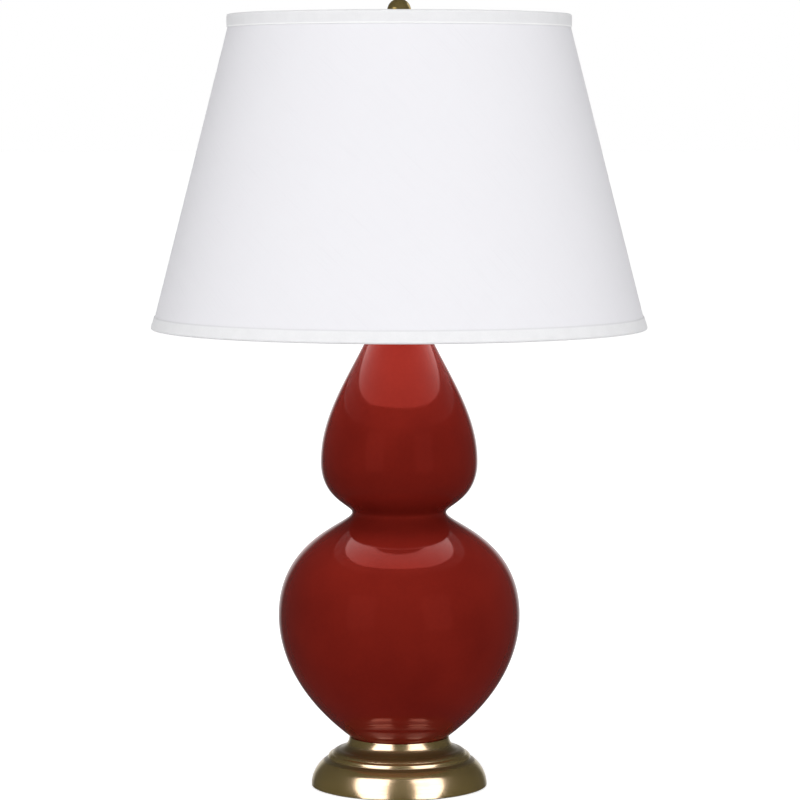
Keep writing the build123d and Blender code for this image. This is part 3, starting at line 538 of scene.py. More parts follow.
class Press:
    """A Geometry Nodes tree with named inputs that turns a drawn line into a finished mesh."""

    def __init__(
        self,
        name: str,
        inputs: dict[str, tuple[str, object]],
        write: Callable[[Book, dict[str, Sock]], Sock],
    ) -> None:
        """Builds the tree.

        Args:
            name: the tree's name.
            inputs: socket type and default of each named input.
            write: writes the nodes and returns the shape before it is realized.
        """
        self.tree = bpy.data.node_groups.new(name, "GeometryNodeTree")
        face = self.tree.interface
        face.new_socket("Geometry", in_out="INPUT", socket_type="NodeSocketGeometry")
        self.defaults: dict[str, tuple[str, object]] = {}
        for label, (kind, default) in {**inputs, "Finish": ("NodeSocketMaterial", None)}.items():
            item = face.new_socket(label, in_out="INPUT", socket_type=kind)
            self.defaults[label] = (item.identifier, default)
        face.new_socket("Geometry", in_out="OUTPUT", socket_type="NodeSocketGeometry")
        book = Book(self.tree)
        entry = book.add("NodeGroupInput")
        named = {s.name: Sock(book, s) for s in entry.socket.node.outputs if s.name}
        shape = write(book, named)
        real = book.add("GeometryNodeRealizeInstances", None, {0: shape})
        dressed = book.add("GeometryNodeSetMaterial", None, {"Geometry": real, "Material": named["Finish"]})
        book.add("NodeGroupOutput", None, {0: dressed})

    def make(
        self, name: str, source: bpy.types.Mesh, finish: bpy.types.Material, **values: float
    ) -> bpy.types.Object:
        """Presses a mesh through the tree.

        Args:
            name: the new piece's name.
            source: the drawn line, used up here.
            finish: its material.
            values: inputs by name, with _ for each space.

        Returns:
            A plain mesh object, in the scene, with no modifier left.
        """
        blank = link("blank", source)
        modifier = blank.modifiers.new("press", "NODES")
        modifier.node_group = self.tree
        given = {key.replace("_", " ").lower(): value for key, value in values.items()}
        for label, (identifier, default) in self.defaults.items():
            modifier[identifier] = given.pop(label.lower(), finish if label == "Finish" else default)
        if given:
            raise ValueError(f"{name}: the tree has no input {sorted(given)}")
        mesh = settled(blank)
        bpy.data.objects.remove(blank)
        bpy.data.meshes.remove(source)
        mesh.name = name
        return link(name, mesh)


FLUTE_POWER = 1.6
WELD = 2e-6


def write_turned(book: Book, named: dict[str, Sock]) -> Sock:
    """Turns an outline round Z, with flutes and a rolled thread where its bite says so.

    Args:
        book: writer of the tree.
        named: the tree's own inputs.

    Returns:
        The closed form.
    """
    rows = book.add("GeometryNodeAttributeDomainSize", {"component": "MESH"}, {0: named["Geometry"]})
    size = {"Size X": 1.0, "Size Y": 1.0, "Vertices X": named["Turns"] + 1, "Vertices Y": rows}
    grid = book.add("GeometryNodeMeshGrid", None, size)
    index = book.add("GeometryNodeInputIndex")
    row = index % rows
    column = book.maths("FLOOR", (index + 0.5) / rows)
    angle = column / named["Turns"] * math.tau
    picked = {"Geometry": named["Geometry"], "Index": row}
    place = book.add(
        "GeometryNodeSampleIndex",
        {"data_type": "FLOAT_VECTOR", "domain": "POINT"},
        {**picked, "Value": book.add("GeometryNodeInputPosition")},
    )
    held = book.add("GeometryNodeInputNamedAttribute", {"data_type": "FLOAT"}, {"Name": "bite"})
    bite = book.add(
        "GeometryNodeSampleIndex",
        {"data_type": "FLOAT", "domain": "POINT"},
        {**picked, "Value": held},
    )
    drawn = book.add("ShaderNodeSeparateXYZ", None, {0: place})
    height = book.also(drawn, "Z")
    groove = (1 - book.maths("COSINE", angle * named["Flutes"])) * 0.5
    thread = book.maths("COSINE", height / named["Pitch"] * math.tau - angle)
    fluted = drawn - bite * (groove**FLUTE_POWER * named["Flute depth"])
    radius = fluted + bite * thread * named["Thread depth"]
    turned = book.vector(radius * book.maths("COSINE", angle), radius * book.maths("SINE", angle), height)
    moved = book.add("GeometryNodeSetPosition", None, {"Geometry": grid, "Position": turned})
    return book.add("GeometryNodeMergeByDistance", None, {"Geometry": moved, "Distance": WELD})


def write_drawn(book: Book, named: dict[str, Sock]) -> Sock:
    """Draws a round wire along a path.

    Args:
        book: writer of the tree.
        named: the tree's own inputs.

    Returns:
        The wire, with capped ends.
    """
    curve = book.add("GeometryNodeMeshToCurve", None, {0: named["Geometry"]})
    gauge = {"Resolution": named["Sides"], "Radius": named["Gauge"]}
    section = book.add("GeometryNodeCurvePrimitiveCircle", None, gauge)
    drawn = {"Curve": curve, "Profile Curve": section, "Fill Caps": True}
    return book.add("GeometryNodeCurveToMesh", None, drawn)


def write_spaced(book: Book, named: dict[str, Sock]) -> Sock:
    """Sets copies of a piece evenly round the axis.

    Args:
        book: writer of the tree.
        named: the tree's own inputs.

    Returns:
        The copies, as instances.
    """
    spots = book.add("GeometryNodePoints", None, {"Count": named["Count"], "Position": (0.0, 0.0, 0.0)})
    index = book.add("GeometryNodeInputIndex")
    turn = book.vector(0.0, 0.0, index / named["Count"] * math.tau + named["Start"])
    return book.add(
        "GeometryNodeInstanceOnPoints",
        None,
        {"Points": spots, "Instance": named["Geometry"], "Rotation": turn},
    )


class Workshop:
    """Holds the presses and finishes, and makes plain meshes with them.

    Edges sharper than `sharp` degrees stay sharp; points nearer than `weld` metres are merged.
    """

    sharp = 38.0
    weld = 1e-6

    def __init__(self, finishes: dict[Slot, bpy.types.Material]) -> None:
        """Sets up the three presses.

        Args:
            finishes: the material of each slot.
        """
        self.finishes = finishes
        whole, number = "NodeSocketInt", "NodeSocketFloat"
        self.lathe = Press(
            "Turned form",
            {
                "Turns": (whole, 96),
                "Flutes": (whole, 0),
                "Flute depth": (number, 0.0),
                "Pitch": (number, 1.0),
                "Thread depth": (number, 0.0),
            },
            write_turned,
        )
        self.drawbench = Press("Drawn wire", {"Sides": (whole, 20), "Gauge": (number, 0.002)}, write_drawn)
        self.spacer = Press("Set round the axis", {"Count": (whole, 3), "Start": (number, 0.0)}, write_spaced)

    @staticmethod
    def line_mesh(points: Iterable[Sequence[float]], bite: Sequence[float] | None = None) -> bpy.types.Mesh:
        """A chain of edges through points in millimetres, as a mesh in metres.

        Args:
            points: places along the line.
            bite: share of the flutes or thread that each point takes.

        Returns:
            The chain, with its bite as an attribute.
        """
        places = [tuple(c * MM for c in p) for p in points]
        mesh = bpy.data.meshes.new("line")
        mesh.from_pydata(places, [(i, i + 1) for i in range(len(places) - 1)], [])
        held = mesh.attributes.new("bite", "FLOAT", "POINT")
        held.data.foreach_set("value", list(bite) if bite else [0.0] * len(places))
        return mesh

    def turn(
        self,
        name: str,
        outline: Pen | Sequence[Point],
        slot: Slot,
        bite: Bite | None = None,
        **inputs: float,
    ) -> bpy.types.Object:
        """Turns an outline on the lathe.

        Args:
            name: the piece's name.
            outline: a pen, or (radius, height) points in millimetres.
            slot: its finish.
            bite: share of flutes or thread at a (radius, height).
            inputs: the lathe's own inputs, in metres.

        Returns:
            The turned piece.
        """
        points = outline.points() if isinstance(outline, Pen) else list(outline)
        bites = [bite(r, z) for r, z in points] if bite else None
        mesh = self.line_mesh([(r, 0.0, z) for r, z in points], bites)
        return self.finish_edges(self.lathe.make(name, mesh, self.finishes[slot], **inputs))

    def draw_wire(
        self, name: str, path: Sequence[Vector], gauge: float, slot: Slot, sides: int = 20
    ) -> bpy.types.Object:
        """Draws a wire of a radius in millimetres along a path.

        Args:
            name: the piece's name.
            path: its centre line, in millimetres.
            gauge: its radius, in millimetres.
            slot: its finish.
            sides: how many sides its section has.

        Returns:
            The wire.
        """
        line = self.line_mesh(path)
        wire = self.drawbench.make(name, line, self.finishes[slot], sides=sides, gauge=gauge * MM)
        return self.finish_edges(wire, outward=True)

    def space(
        self, name: str, piece: bpy.types.Object, count: int, start: float, slot: Slot
    ) -> bpy.types.Object:
        """Copies a piece round the axis and uses the piece up.

        Args:
            name: the new piece's name.
            piece: what is copied.
            count: how many there are.
            start: turn of the first one, in radians.
            slot: their finish.

        Returns:
            One piece that holds every copy.
        """
        mesh = piece.data
        bpy.data.objects.remove(piece)
        return self.finish_edges(self.spacer.make(name, mesh, self.finishes[slot], count=count, start=start))

    def joined(self, name: str, *pieces: bpy.types.Object) -> bpy.types.Object:
        """One piece made of several, which are used up.

        Args:
            name: the new piece's name.
            pieces: what is joined; the first gives the finish.

        Returns:
            The whole.
        """
        whole = bmesh.new()
        materials = pieces[0].data.materials[:]
        for piece in pieces:
            whole.from_mesh(piece.data)
            bpy.data.objects.remove(piece)
        made = cast(name, whole)
        for material in materials:
            made.data.materials.append(material)
        return self.finish_edges(made)

    def cut(self, piece: bpy.types.Object, cutter: bpy.types.Object) -> bpy.types.Object:
        """Args:
            piece: what is cut.
            cutter: what is taken out of it.

        Returns:
            The piece.
        """
        modifier = piece.modifiers.new("cut", "BOOLEAN")
        modifier.operation, modifier.solver, modifier.object = "DIFFERENCE", "EXACT", cutter
        mesh = settled(piece)
        piece.modifiers.clear()
        piece.data = mesh
        bpy.data.objects.remove(cutter)
        return self.finish_edges(piece)

    @staticmethod
    def block(size: Sequence[float], place: Sequence[float]) -> bpy.types.Object:
        """A cutter block of a size at a place, in millimetres.

        Args:
            size: its size along X, Y and Z.
            place: where its middle is.

        Returns:
            The cutter.
        """
        shape = bmesh.new()
        bmesh.ops.create_cube(shape, size=1.0)
        stand = Matrix.Translation(Vector(place) * MM)
        stretch = Matrix.Diagonal((*[s * MM for s in size], 1.0))
        bmesh.ops.transform(shape, matrix=stand @ stretch, verts=shape.verts)
        return cast("cutter", shape)

    def drill(self, radius: float, half: float, slot: Slot, turns: int, place: Matrix) -> bpy.types.Object:
        """A round cutter.

        Args:
            radius: its radius in millimetres.
            half: half its length in millimetres.
            slot: the finish of the walls that it leaves.
            turns: its number of sides.
            place: where its middle stands, with its axis on Z.

        Returns:
            The cutter.
        """
        outline = Pen(0, -half).line(radius, -half).line(radius, half).line(0, half)
        return self.moved(self.turn("drill", outline, slot, turns=turns), place)

    @staticmethod
    def moved(piece: bpy.types.Object, matrix: Matrix) -> bpy.types.Object:
        """A piece with its mesh, not its object, moved."""
        piece.data.transform(matrix)
        return piece

    @classmethod
    def finish_edges(cls, piece: bpy.types.Object, outward: bool = False) -> bpy.types.Object:
        """Shades a piece smooth except at its sharp edges.

        Args:
            piece: the piece.
            outward: whether its faces are first turned outwards.

        Returns:
            The same piece.
        """
        if outward:
            shape = bmesh.new()
            shape.from_mesh(piece.data)
            bmesh.ops.remove_doubles(shape, verts=shape.verts, dist=cls.weld)
            bmesh.ops.recalc_face_normals(shape, faces=shape.faces)
            shape.to_mesh(piece.data)
            shape.free()
        for polygon in piece.data.polygons:
            polygon.use_smooth = True
        piece.data.set_sharp_from_angle(angle=math.radians(cls.sharp))
        return piece


# ---------------------------------------------------------------- finishes
class Place:
    """Where a point of a piece is, as sockets: in space and round the lamp's axis."""

    def __init__(self, book: Book) -> None:
        """Adds the nodes that find the point.

        Args:
            book: the material's tree.
        """
        self.book = book
        self.here = book.add("ShaderNodeTexCoord", None, None, "Object")
        parts = book.add("ShaderNodeSeparateXYZ", None, {0: self.here})
        self.x, self.y, self.z = parts, book.also(parts, 1), book.also(parts, 2)
        self.radius = book.maths("SQRT", self.x * self.x + self.y * self.y + 1e-9)
        self.turn = book.maths("ARCTAN2", self.y, self.x)

    def lathe_marks(self, spacing: float, wander: float = 3.0) -> Sock:
        """Fine tool marks round the axis: noise that hardly changes with the turn.

        Args:
            spacing: distance of the marks, in metres.
            wander: how much they change with the turn.

        Returns:
            The marks, about 0 to 1.
        """
        round_x, round_y = self.x / self.radius * wander, self.y / self.radius * wander
        along = (self.z + self.radius * 0.7) / spacing
        return self.book.noise(self.book.vector(round_x, round_y, along), 1.0, 3.0, 0.65)


@dataclass(frozen=True)
class Finish:
    """A plain finish: two tones, a grain and a slight unevenness of surface and gloss."""

    slot: Slot
    colour: Colour
    tone: Colour
    roughness: float = 0.5
    spread: float = 0.08
    metal: float = 0.0
    grain: float = 400.0
    relief: float = 0.00005
    settings: tuple[tuple[str, Value], ...] = ()

    def mottle(self, book: Book, place: Place) -> Sock:
        """Where the second tone shows, 0 to 1.

        Args:
            book: writer of the material's tree.
            place: where a point of the piece is.

        Returns:
            The second tone's share.
        """
        wide = book.noise(place.here, self.grain * 0.08, 3.0, 0.6)
        fine = book.noise(place.here, self.grain, 4.0, 0.6)
        return book.between(wide * 0.6 + fine * 0.4, 0.35, 0.68)

    def height(self, book: Book, place: Place) -> Sock:
        """Height of the surface's relief, 0 to 1."""
        return book.noise(place.here, self.grain, 4.0, 0.55)

    def base(self, book: Book, place: Place, mask: Sock) -> Sock:
        """Base colour from the mottle."""
        return book.blend(mask, self.colour, self.tone)

    def gloss(self, book: Book, place: Place, mask: Sock) -> Sock:
        """Roughness from the mottle."""
        return mask * self.spread + self.roughness

    def material(self) -> bpy.types.Material:
        """Writes the material.

        Returns:
            The finish as a node material named after its slot.
        """
        material = bpy.data.materials.new(f"{self.slot.value}_finish")
        book = Book.of(material)
        place = Place(book)
        mask = self.mottle(book, place)
        inputs: dict[str | int, Value] = {
            "Base Color": self.base(book, place, mask),
            "Roughness": self.gloss(book, place, mask),
            "Metallic": self.metal,
            "Normal": book.bump(self.height(book, place), self.relief),
            **dict(self.settings),
        }
        shader = book.add("ShaderNodeBsdfPrincipled", None, inputs)
        book.add("ShaderNodeOutputMaterial", None, {"Surface": shader})
        return material


@dataclass(frozen=True)
class Glaze(Finish):
    """Deep glossy glaze over slip-cast ware: it pools a little darker and dips in soft waves."""

    wave: float = 14.0

    def mottle(self, book: Book, place: Place) -> Sock:
        """Broad slow pools with a faint speckle.

        Args:
            book: writer of the material's tree.
            place: where a point of the piece is.

        Returns:
            The second tone's share.
        """
        pools = book.noise(place.here, self.wave, 2.0, 0.5)
        speck = book.noise(place.here, self.grain, 2.0, 0.5)
        return book.between(pools * 0.8 + speck * 0.2, 0.32, 0.7)

    def height(self, book: Book, place: Place) -> Sock:
        """Long waves of the dipped coat and a trace of orange peel."""
        waves = book.noise(place.here, self.wave * 1.6, 1.0, 0.4)
        return waves + book.noise(place.here, 260.0, 1.0, 0.4) * 0.02


@dataclass(frozen=True)
class TurnedMetal(Finish):
    """Spun and lacquered metal: fine marks round the axis, darker where the lacquer settles."""

    marks: float = 0.0005

    def mottle(self, book: Book, place: Place) -> Sock:
        """Marks of the tool mixed with broad clouds of the patina."""
        clouds = book.noise(place.here, 22.0, 4.0, 0.6)
        return book.between(place.lathe_marks(self.marks * 3) * 0.45 + clouds * 0.55, 0.34, 0.68)

    def height(self, book: Book, place: Place) -> Sock:
        """Fine turning lines."""
        return place.lathe_marks(self.marks)


@dataclass(frozen=True)
class AntiqueBrass(TurnedMetal):
    """Turned brass whose recesses, as (level, half width) in metres, keep their dark patina."""

    recesses: tuple[Point, ...] = ()
    patina: Colour = (0.055, 0.043, 0.013)

    def recess(self, book: Book, place: Place) -> Sock:
        """How deep in a recess a place lies, 0 to 1.

        Args:
            book: writer of the material's tree.
            place: where a point of the piece is.

        Returns:
            The patina's share.
        """
        depths = [
            book.between(book.maths("ABSOLUTE", place.z - level), half * 0.3, half, 0.6, 0.0)
            for level, half in self.recesses
        ]
        return sum(depths[1:], depths[0])

    def base(self, book: Book, place: Place, mask: Sock) -> Sock:
        """Base colour from the mottle, darkened in the recesses."""
        return book.blend(self.recess(book, place), super().base(book, place, mask), self.patina)

    def gloss(self, book: Book, place: Place, mask: Sock) -> Sock:
        """Roughness from the mottle, with the patina left matt."""
        return super().gloss(book, place, mask) + self.recess(book, place) * 0.25


@dataclass(frozen=True)
class RolledThread(Finish):
    """Plated steel with a helical thread rolled on it."""

    pitch: float = 0.00094

    def height(self, book: Book, place: Place) -> Sock:
        """A helix of this pitch round the axis."""
        phase = place.z / self.pitch * math.tau - place.turn
        return book.maths("COSINE", phase) * 0.5 + 0.5


@dataclass(frozen=True)
class SlubWeave(Finish):
    """Slubbed silk-type cloth, woven on the sheet's own flat coordinates in metres."""

    thread: float = 0.00042

    def _flat(self, book: Book) -> tuple[Sock, Sock]:
        """Places across and along the flat cloth.

        Args:
            book: writer of the material's tree.

        Returns:
            The two coordinates, in metres.
        """
        flat = book.add("ShaderNodeUVMap", {"uv_map": "UVMap"})
        parts = book.add("ShaderNodeSeparateXYZ", None, {0: flat})
        return parts, book.also(parts, 1)

    def slubs(self, book: Book) -> Sock:
        """Long thick places in the threads, mostly round the shade.

        Args:
            book: writer of the material's tree.

        Returns:
            How much a place is raised.
        """
        u, v = self._flat(book)
        weft = book.noise(book.vector(u * 16.0, v * 1150.0, 0.0), 1.0, 2.0, 0.5)
        warp = book.noise(book.vector(u * 950.0, v * 13.0, 7.0), 1.0, 2.0, 0.5)
        return book.between(weft, 0.56, 0.78) * 0.8 + book.between(warp, 0.6, 0.8) * 0.3

    def mottle(self, book: Book, place: Place) -> Sock:
        """The slubs over faint cloudiness of the dye."""
        return self.slubs(book) * 0.7 + book.noise(place.here, 9.0, 2.0, 0.5) * 0.3

    def height(self, book: Book, place: Place) -> Sock:
        """Threads over and under, raised at the slubs.

        Args:
            book: writer of the material's tree.
            place: not used.

        Returns:
            The relief, about 0 to 1.
        """
        u, v = self._flat(book)
        across = book.maths("SINE", u / self.thread * math.pi)
        along = book.maths("SINE", v / self.thread * math.pi)
        return across * along * 0.25 + 0.25 + self.slubs(book) * 0.6


@dataclass(frozen=True)
class RibbedTape(Finish):
    """Binding tape: fine ribs across the tape, with a painted highlight and a painted shadow line at its
    edges.
    """

    rib: float = 0.0011
    # Painted highlight along the top tape's lower edge, and painted shadow along the bottom tape's upper
    # edge.
    painted_highlight: Colour = (0.97, 0.97, 0.98)
    painted_shadow: Colour = (0.72, 0.72, 0.74)

    def base(self, book: Book, place: Place, mask: Sock) -> Sock:
        """Base colour with a painted highlight along the top tape's lower edge and a painted shadow line
        along the bottom tape's upper edge.

        Args:
            book: writer of the material's tree.
            place: where a point of the piece is.
            mask: where the second tone shows.

        Returns:
            The colour.
        """
        top, bottom = span("shade_top_trim")[0] * MM, span("shade_bottom_trim")[1] * MM
        tone = super().base(book, place, mask)
        # Paints the highlight line and the shadow line into the base colour.
        for level, colour in ((top, self.painted_highlight), (bottom, self.painted_shadow)):
            near = book.between(book.maths("ABSOLUTE", place.z - level), 0.0007, 0.0018, 1.0, 0.0)
            tone = book.blend(near, tone, colour)
        return tone

    def height(self, book: Book, place: Place) -> Sock:
        """Ribs that run up the tape, with threads round it.

        Args:
            book: writer of the material's tree.
            place: where a point of the piece is.

        Returns:
            The relief, about 0 to 1.
        """
        ribs = book.maths("SINE", place.turn * (math.tau * 0.2 / self.rib))
        threads = book.maths("SINE", place.z * (math.tau / (self.rib * 0.6)))
        return ribs * 0.3 + threads * 0.12 + 0.5 + book.noise(place.here, 900.0, 2.0, 0.5) * 0.3


@dataclass(frozen=True)
class Felted(Finish):
    """Pressed fibres lying every way."""

    def height(self, book: Book, place: Place) -> Sock:
        """Short tangled fibres, from two noises pulled different ways and swirled.

        Args:
            book: writer of the material's tree.
            place: where a point of the piece is.

        Returns:
            The relief, about 0 to 1.
        """
        curls = book.noise(place.here, 120.0, 2.0, 0.5, colour=True)
        swirl = book.vectors("MULTIPLY", curls, (0.012, 0.012, 0.012))
        tangled = book.vectors("ADD", place.here, swirl)
        one = book.vectors("MULTIPLY", tangled, (500.0, 1600.0, 900.0))
        two = book.vectors("MULTIPLY", tangled, (1600.0, 500.0, 900.0))
        return book.maths("MAXIMUM", book.noise(one, 1.0, 2.0), book.noise(two, 1.0, 2.0))


FINISHES: tuple[Finish, ...] = (
    Felted(Slot.FELT, (0.030, 0.026, 0.024), (0.060, 0.052, 0.046), 0.95, 0.0, relief=0.0006,
           settings=(("Sheen Weight", 0.35), ("Sheen Roughness", 0.6), ("Specular IOR Level", 0.15))),
    AntiqueBrass(Slot.ANTIQUE_BRASS, (0.52, 0.385, 0.145), (0.42, 0.305, 0.105), 0.14, 0.05, 0.8,
                 relief=0.000010, recesses=((0.0385, 0.0060), (0.0272, 0.0026)),
                 settings=(("Anisotropic", 0.5), ("Coat Weight", 0.15), ("Coat Roughness", 0.12))),
    Finish(Slot.CAST_IRON, (0.045, 0.043, 0.042), (0.085, 0.058, 0.042), 0.62, 0.2, 0.55, 520.0, 0.0005),
    Finish(Slot.BUSHING, (0.015, 0.015, 0.016), (0.024, 0.024, 0.025), 0.42, 0.1, 0.0, 900.0, 0.00008),
    Finish(Slot.PLATED_STEEL, (0.55, 0.55, 0.54), (0.42, 0.41, 0.38), 0.28, 0.14, 1.0, 700.0, 0.00003),
    Finish(Slot.RUBBER, (0.012, 0.012, 0.012), (0.025, 0.025, 0.024), 0.7, 0.12, 0.0, 800.0, 0.00008),
    Glaze(Slot.GLAZE, (0.186, 0.0130, 0.0078), (0.152, 0.0102, 0.0064), 0.05, 0.03,
          grain=300.0, relief=0.00035, settings=(("IOR", 1.5), ("Specular Tint", (1.0, 0.12, 0.09, 1.0)))),
    TurnedMetal(Slot.HARP_BRASS, (0.62, 0.47, 0.20), (0.50, 0.36, 0.14), 0.22, 0.12, 1.0, relief=0.000008),
    TurnedMetal(Slot.SOCKET_BRASS, (0.68, 0.52, 0.24), (0.55, 0.40, 0.16), 0.2, 0.12, 1.0, relief=0.000008),
    Finish(Slot.CARD, (0.30, 0.22, 0.14), (0.42, 0.33, 0.22), 0.85, 0.08, 0.0, 1100.0, 0.0001),
    Finish(Slot.PHENOLIC, (0.020, 0.014, 0.011), (0.034, 0.024, 0.018), 0.32, 0.12, 0.0, 700.0, 0.00004),
    Finish(Slot.CONTACT_BRASS, (0.70, 0.53, 0.24), (0.58, 0.40, 0.17), 0.25, 0.12, 1.0, 800.0, 0.00002),
    Finish(Slot.FROSTED_GLASS, (0.84, 0.85, 0.85), (0.88, 0.89, 0.88), 0.28, 0.06, 0.0, 1500.0, 0.00002,
           settings=(("Subsurface Weight", 0.25), ("Subsurface Radius", (0.01, 0.01, 0.01)),
                     ("Subsurface Scale", 0.4), ("Coat Weight", 0.2), ("Coat Roughness", 0.15))),
    Finish(Slot.BULB_ALUMINIUM, (0.72, 0.72, 0.71), (0.60, 0.60, 0.58), 0.3, 0.12, 1.0, 900.0, 0.00003),
    Finish(Slot.BLACK_GLASS, (0.010, 0.010, 0.012), (0.016, 0.016, 0.018), 0.08, 0.06, 0.0, 500.0, 0.00002),
    Finish(Slot.SOLDER, (0.50, 0.50, 0.49), (0.36, 0.36, 0.35), 0.35, 0.15, 1.0, 900.0, 0.0001),
    Finish(Slot.FITTER_WIRE, (0.60, 0.59, 0.57), (0.48, 0.46, 0.42), 0.3, 0.14, 1.0, 600.0, 0.00003),
    SlubWeave(Slot.SHADE_CLOTH, (0.803, 0.797, 0.828), (0.753, 0.747, 0.782), 0.72, 0.05, relief=0.00012,
              settings=(("Sheen Weight", 0.15), ("Sheen Roughness", 0.4), ("Specular IOR Level", 0.3))),
    Finish(Slot.STYRENE, (0.86, 0.86, 0.87), (0.83, 0.83, 0.84), 0.42, 0.08, 0.0, 300.0, 0.00004,
           settings=(("Specular IOR Level", 0.4),)),
    RibbedTape(Slot.TAPE, (0.81, 0.81, 0.825), (0.775, 0.775, 0.79), 0.78, 0.06, grain=900.0, relief=0.00012,
               settings=(("Sheen Weight", 0.15), ("Specular IOR Level", 0.3))),
)
PIPE_THREAD = RolledThread(
    Slot.PLATED_STEEL, (0.55, 0.55, 0.54), (0.42, 0.41, 0.38), 0.28, 0.14, 1.0, relief=0.0005
)


# ---------------------------------------------------------------- sub-assemblies
def bitten(start: float, end: float, least: float, fades: Point) -> Bite:
    """Thread or flutes on an outer wall between two heights, run out at both ends.

    Args:
        start: height where the cut begins.
        end: height where it ends.
        least: radius up to which nothing is cut.
        fades: heights over which the cut comes in and runs out.

    Returns:
        The share of the cut at a (radius, height).
    """

    def bite(radius: float, height: float) -> float:
        """Share of the cut at one point."""
        share = min(1.0, (height - start) / fades[0], (end - height) / fades[1])
        return max(0.0, share) if radius > least else 0.0

    return bite


@dataclass
class SubAssembly:
    """A part of the lamp that builds its pieces and then dresses them."""

    shop: Workshop
    made: list[tuple[bpy.types.Object, Body, Slot, tuple[str, ...]]] = field(default_factory=list, init=False)

    def keep(self, piece: bpy.types.Object, body: Body, slot: Slot, *nodes: str) -> None:
        """Notes a piece, the body it rides on, its slot and the CAD nodes it stands for."""
        self.made.append((piece, body, slot, nodes))

    def turned(
        self,
        name: str,
        outline: Pen | Sequence[Point],
        where: tuple[Body, Slot, str],
        bite: Bite | None = None,
        **inputs: float,
    ) -> None:
        """Turns a piece and keeps it.

        Args:
            name: the piece's name.
            outline: a pen, or (radius, height) points in millimetres.
            where: its body, its slot and the CAD node it stands for.
            bite: share of flutes or thread at a (radius, height).
            inputs: the lathe's own inputs, in metres.
        """
        body, slot, node = where
        self.keep(self.shop.turn(name, outline, slot, bite, **inputs), body, slot, node)

    def build(self) -> None:
        """Makes the meshes of the sub-assembly."""
        raise NotImplementedError

    def dress(self) -> None:
        """Ties each piece to its body, hides the CAD nodes it stands for and logs it with its slot."""
        for piece, body, slot, nodes in self.made:
            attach(piece, body.value)
            if nodes:
                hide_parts(*nodes)
            triangles = sum(len(p.vertices) - 2 for p in piece.data.polygons)
            log.info("%s: %s on %s, %d triangles", piece.name, slot.value, body.value, triangles)


@dataclass
class Pedestal(SubAssembly):
    """Spun brass base with its felt foot and the bushing that lines its cord inlet."""

    wall: float = 1.1
    collar: float = 50.07
    lip_wall: float = 1.1
    cove_run: float = 10.3
    ogee_run: float = 7.3
    bead_run: float = 4.7
    dome_run: float = 16.0
    dome_rise: float = 27.2
    bead_rise: float = 32.2
    ogee_rise: float = 36.5
    dome_bulge: float = 4.3
    bead_bulge: float = 1.0
    ogee_bulge: float = 0.9
    cove_hollow: float = 2.7
    quirk: float = 0.6
    pipe_hole: float = 4.95
    cup_depth: float = 3.6
    inlet_tilt: float = 18.0
    inlet_bore: float = 3.6
    inlet_wall: float = 1.1
    inlet_gap: float = 0.12
    inlet_half: float = 4.0
    drill_half: float = 20.0
    flange: float = 6.7
    flange_depth: float = 2.0

    def outline(self) -> Pen:
        """Outside and inside of the spun brass, as one closed outline.

        Returns:
            The closed outline.
        """
        low, top = span("base_shell")
        ogee, bead, dome, rim = self.radii()
        dome_top, bead_top, ogee_top = low + self.dome_rise, low + self.bead_rise, low + self.ogee_rise
        pen = Pen(rim - self.wall, low)
        pen.line(rim, low, 0.35)
        pen.arc(dome, dome_top, -self.dome_bulge, 0.25, 24)
        pen.line(dome - self.quirk, dome_top + self.quirk, 0.2)
        pen.arc(bead + self.quirk, bead_top, -self.bead_bulge, 0.2, 10)
        pen.line(bead, bead_top, 0.15)
        pen.arc(ogee, ogee_top, -self.ogee_bulge, 0.5, 10)
        pen.arc(self.collar, top, self.cove_hollow, 0.35, 18)
        outside = pen.drawn(1)
        cup = self.collar - self.lip_wall
        floor = top - self.cup_depth
        under = floor - self.wall
        pen.line(cup, top, 0.35)
        pen.line(cup, floor, 0.6)
        pen.line(self.pipe_hole, floor, 0.2)
        pen.line(self.pipe_hole, under, 0.2)
        inside = [p for p in offset(outside, self.wall)[::-1] if p[1] < under - 3]
        pen.line(self.collar - self.wall, under, 0.6)
        pen.trace([p for p in inside[::2] if p[1] > low + 1.0], 0.2)
        return pen.close(0.2, 0.3)

    def radii(self) -> tuple[float, float, float, float]:
        """Radii of the ogee's top, the bead's top, the dome's top and the rim.

        Returns:
            The four radii, from the top down.
        """
        ogee = self.collar + self.cove_run
        bead = ogee + self.ogee_run
        dome = bead + self.bead_run
        return ogee, bead, dome, dome + self.dome_run

    def build(self) -> None:
        """Turns the base and felt, and bores the inlet."""
        low, high = corners("cord_bushing")
        tilt = math.radians(self.inlet_tilt)
        turn = Vector((0, math.cos(tilt), math.sin(tilt))).to_track_quat("Z", "Y").to_matrix().to_4x4()
        stand = Matrix.Translation((low + high) / 2 * MM) @ turn
        barrel = self.inlet_bore + self.inlet_wall
        brass = self.shop.turn("brass_base", self.outline(), Slot.ANTIQUE_BRASS, turns=160)
        bore = barrel + self.inlet_gap
        self.shop.cut(brass, self.shop.drill(bore, self.drill_half, Slot.ANTIQUE_BRASS, 32, stand))
        self.keep(brass, Body.LAMP, Slot.ANTIQUE_BRASS, "base_shell")

        radius = reach("felt_pad")
        felt_low, felt_top = span("felt_pad")
        felt = Pen(0, felt_low).line(radius, felt_low, 0.6, 6).line(radius, felt_top, 0.6).line(0, felt_top)
        self.turned("felt_foot", felt, (Body.LAMP, Slot.FELT, "felt_pad"))

        half = self.inlet_half
        neck = half - self.flange_depth
        ring = Pen(self.inlet_bore, -half).line(barrel, -half, 0.3).line(barrel, neck)
        ring.line(self.flange, neck, 0.3).line(self.flange, half, 0.9).line(self.inlet_bore, half, 0.5)
        bushing = self.shop.turn("inlet_bushing", ring.close(), Slot.BUSHING, turns=48)
        self.keep(self.shop.moved(bushing, stand), Body.LAMP, Slot.BUSHING, "cord_bushing")


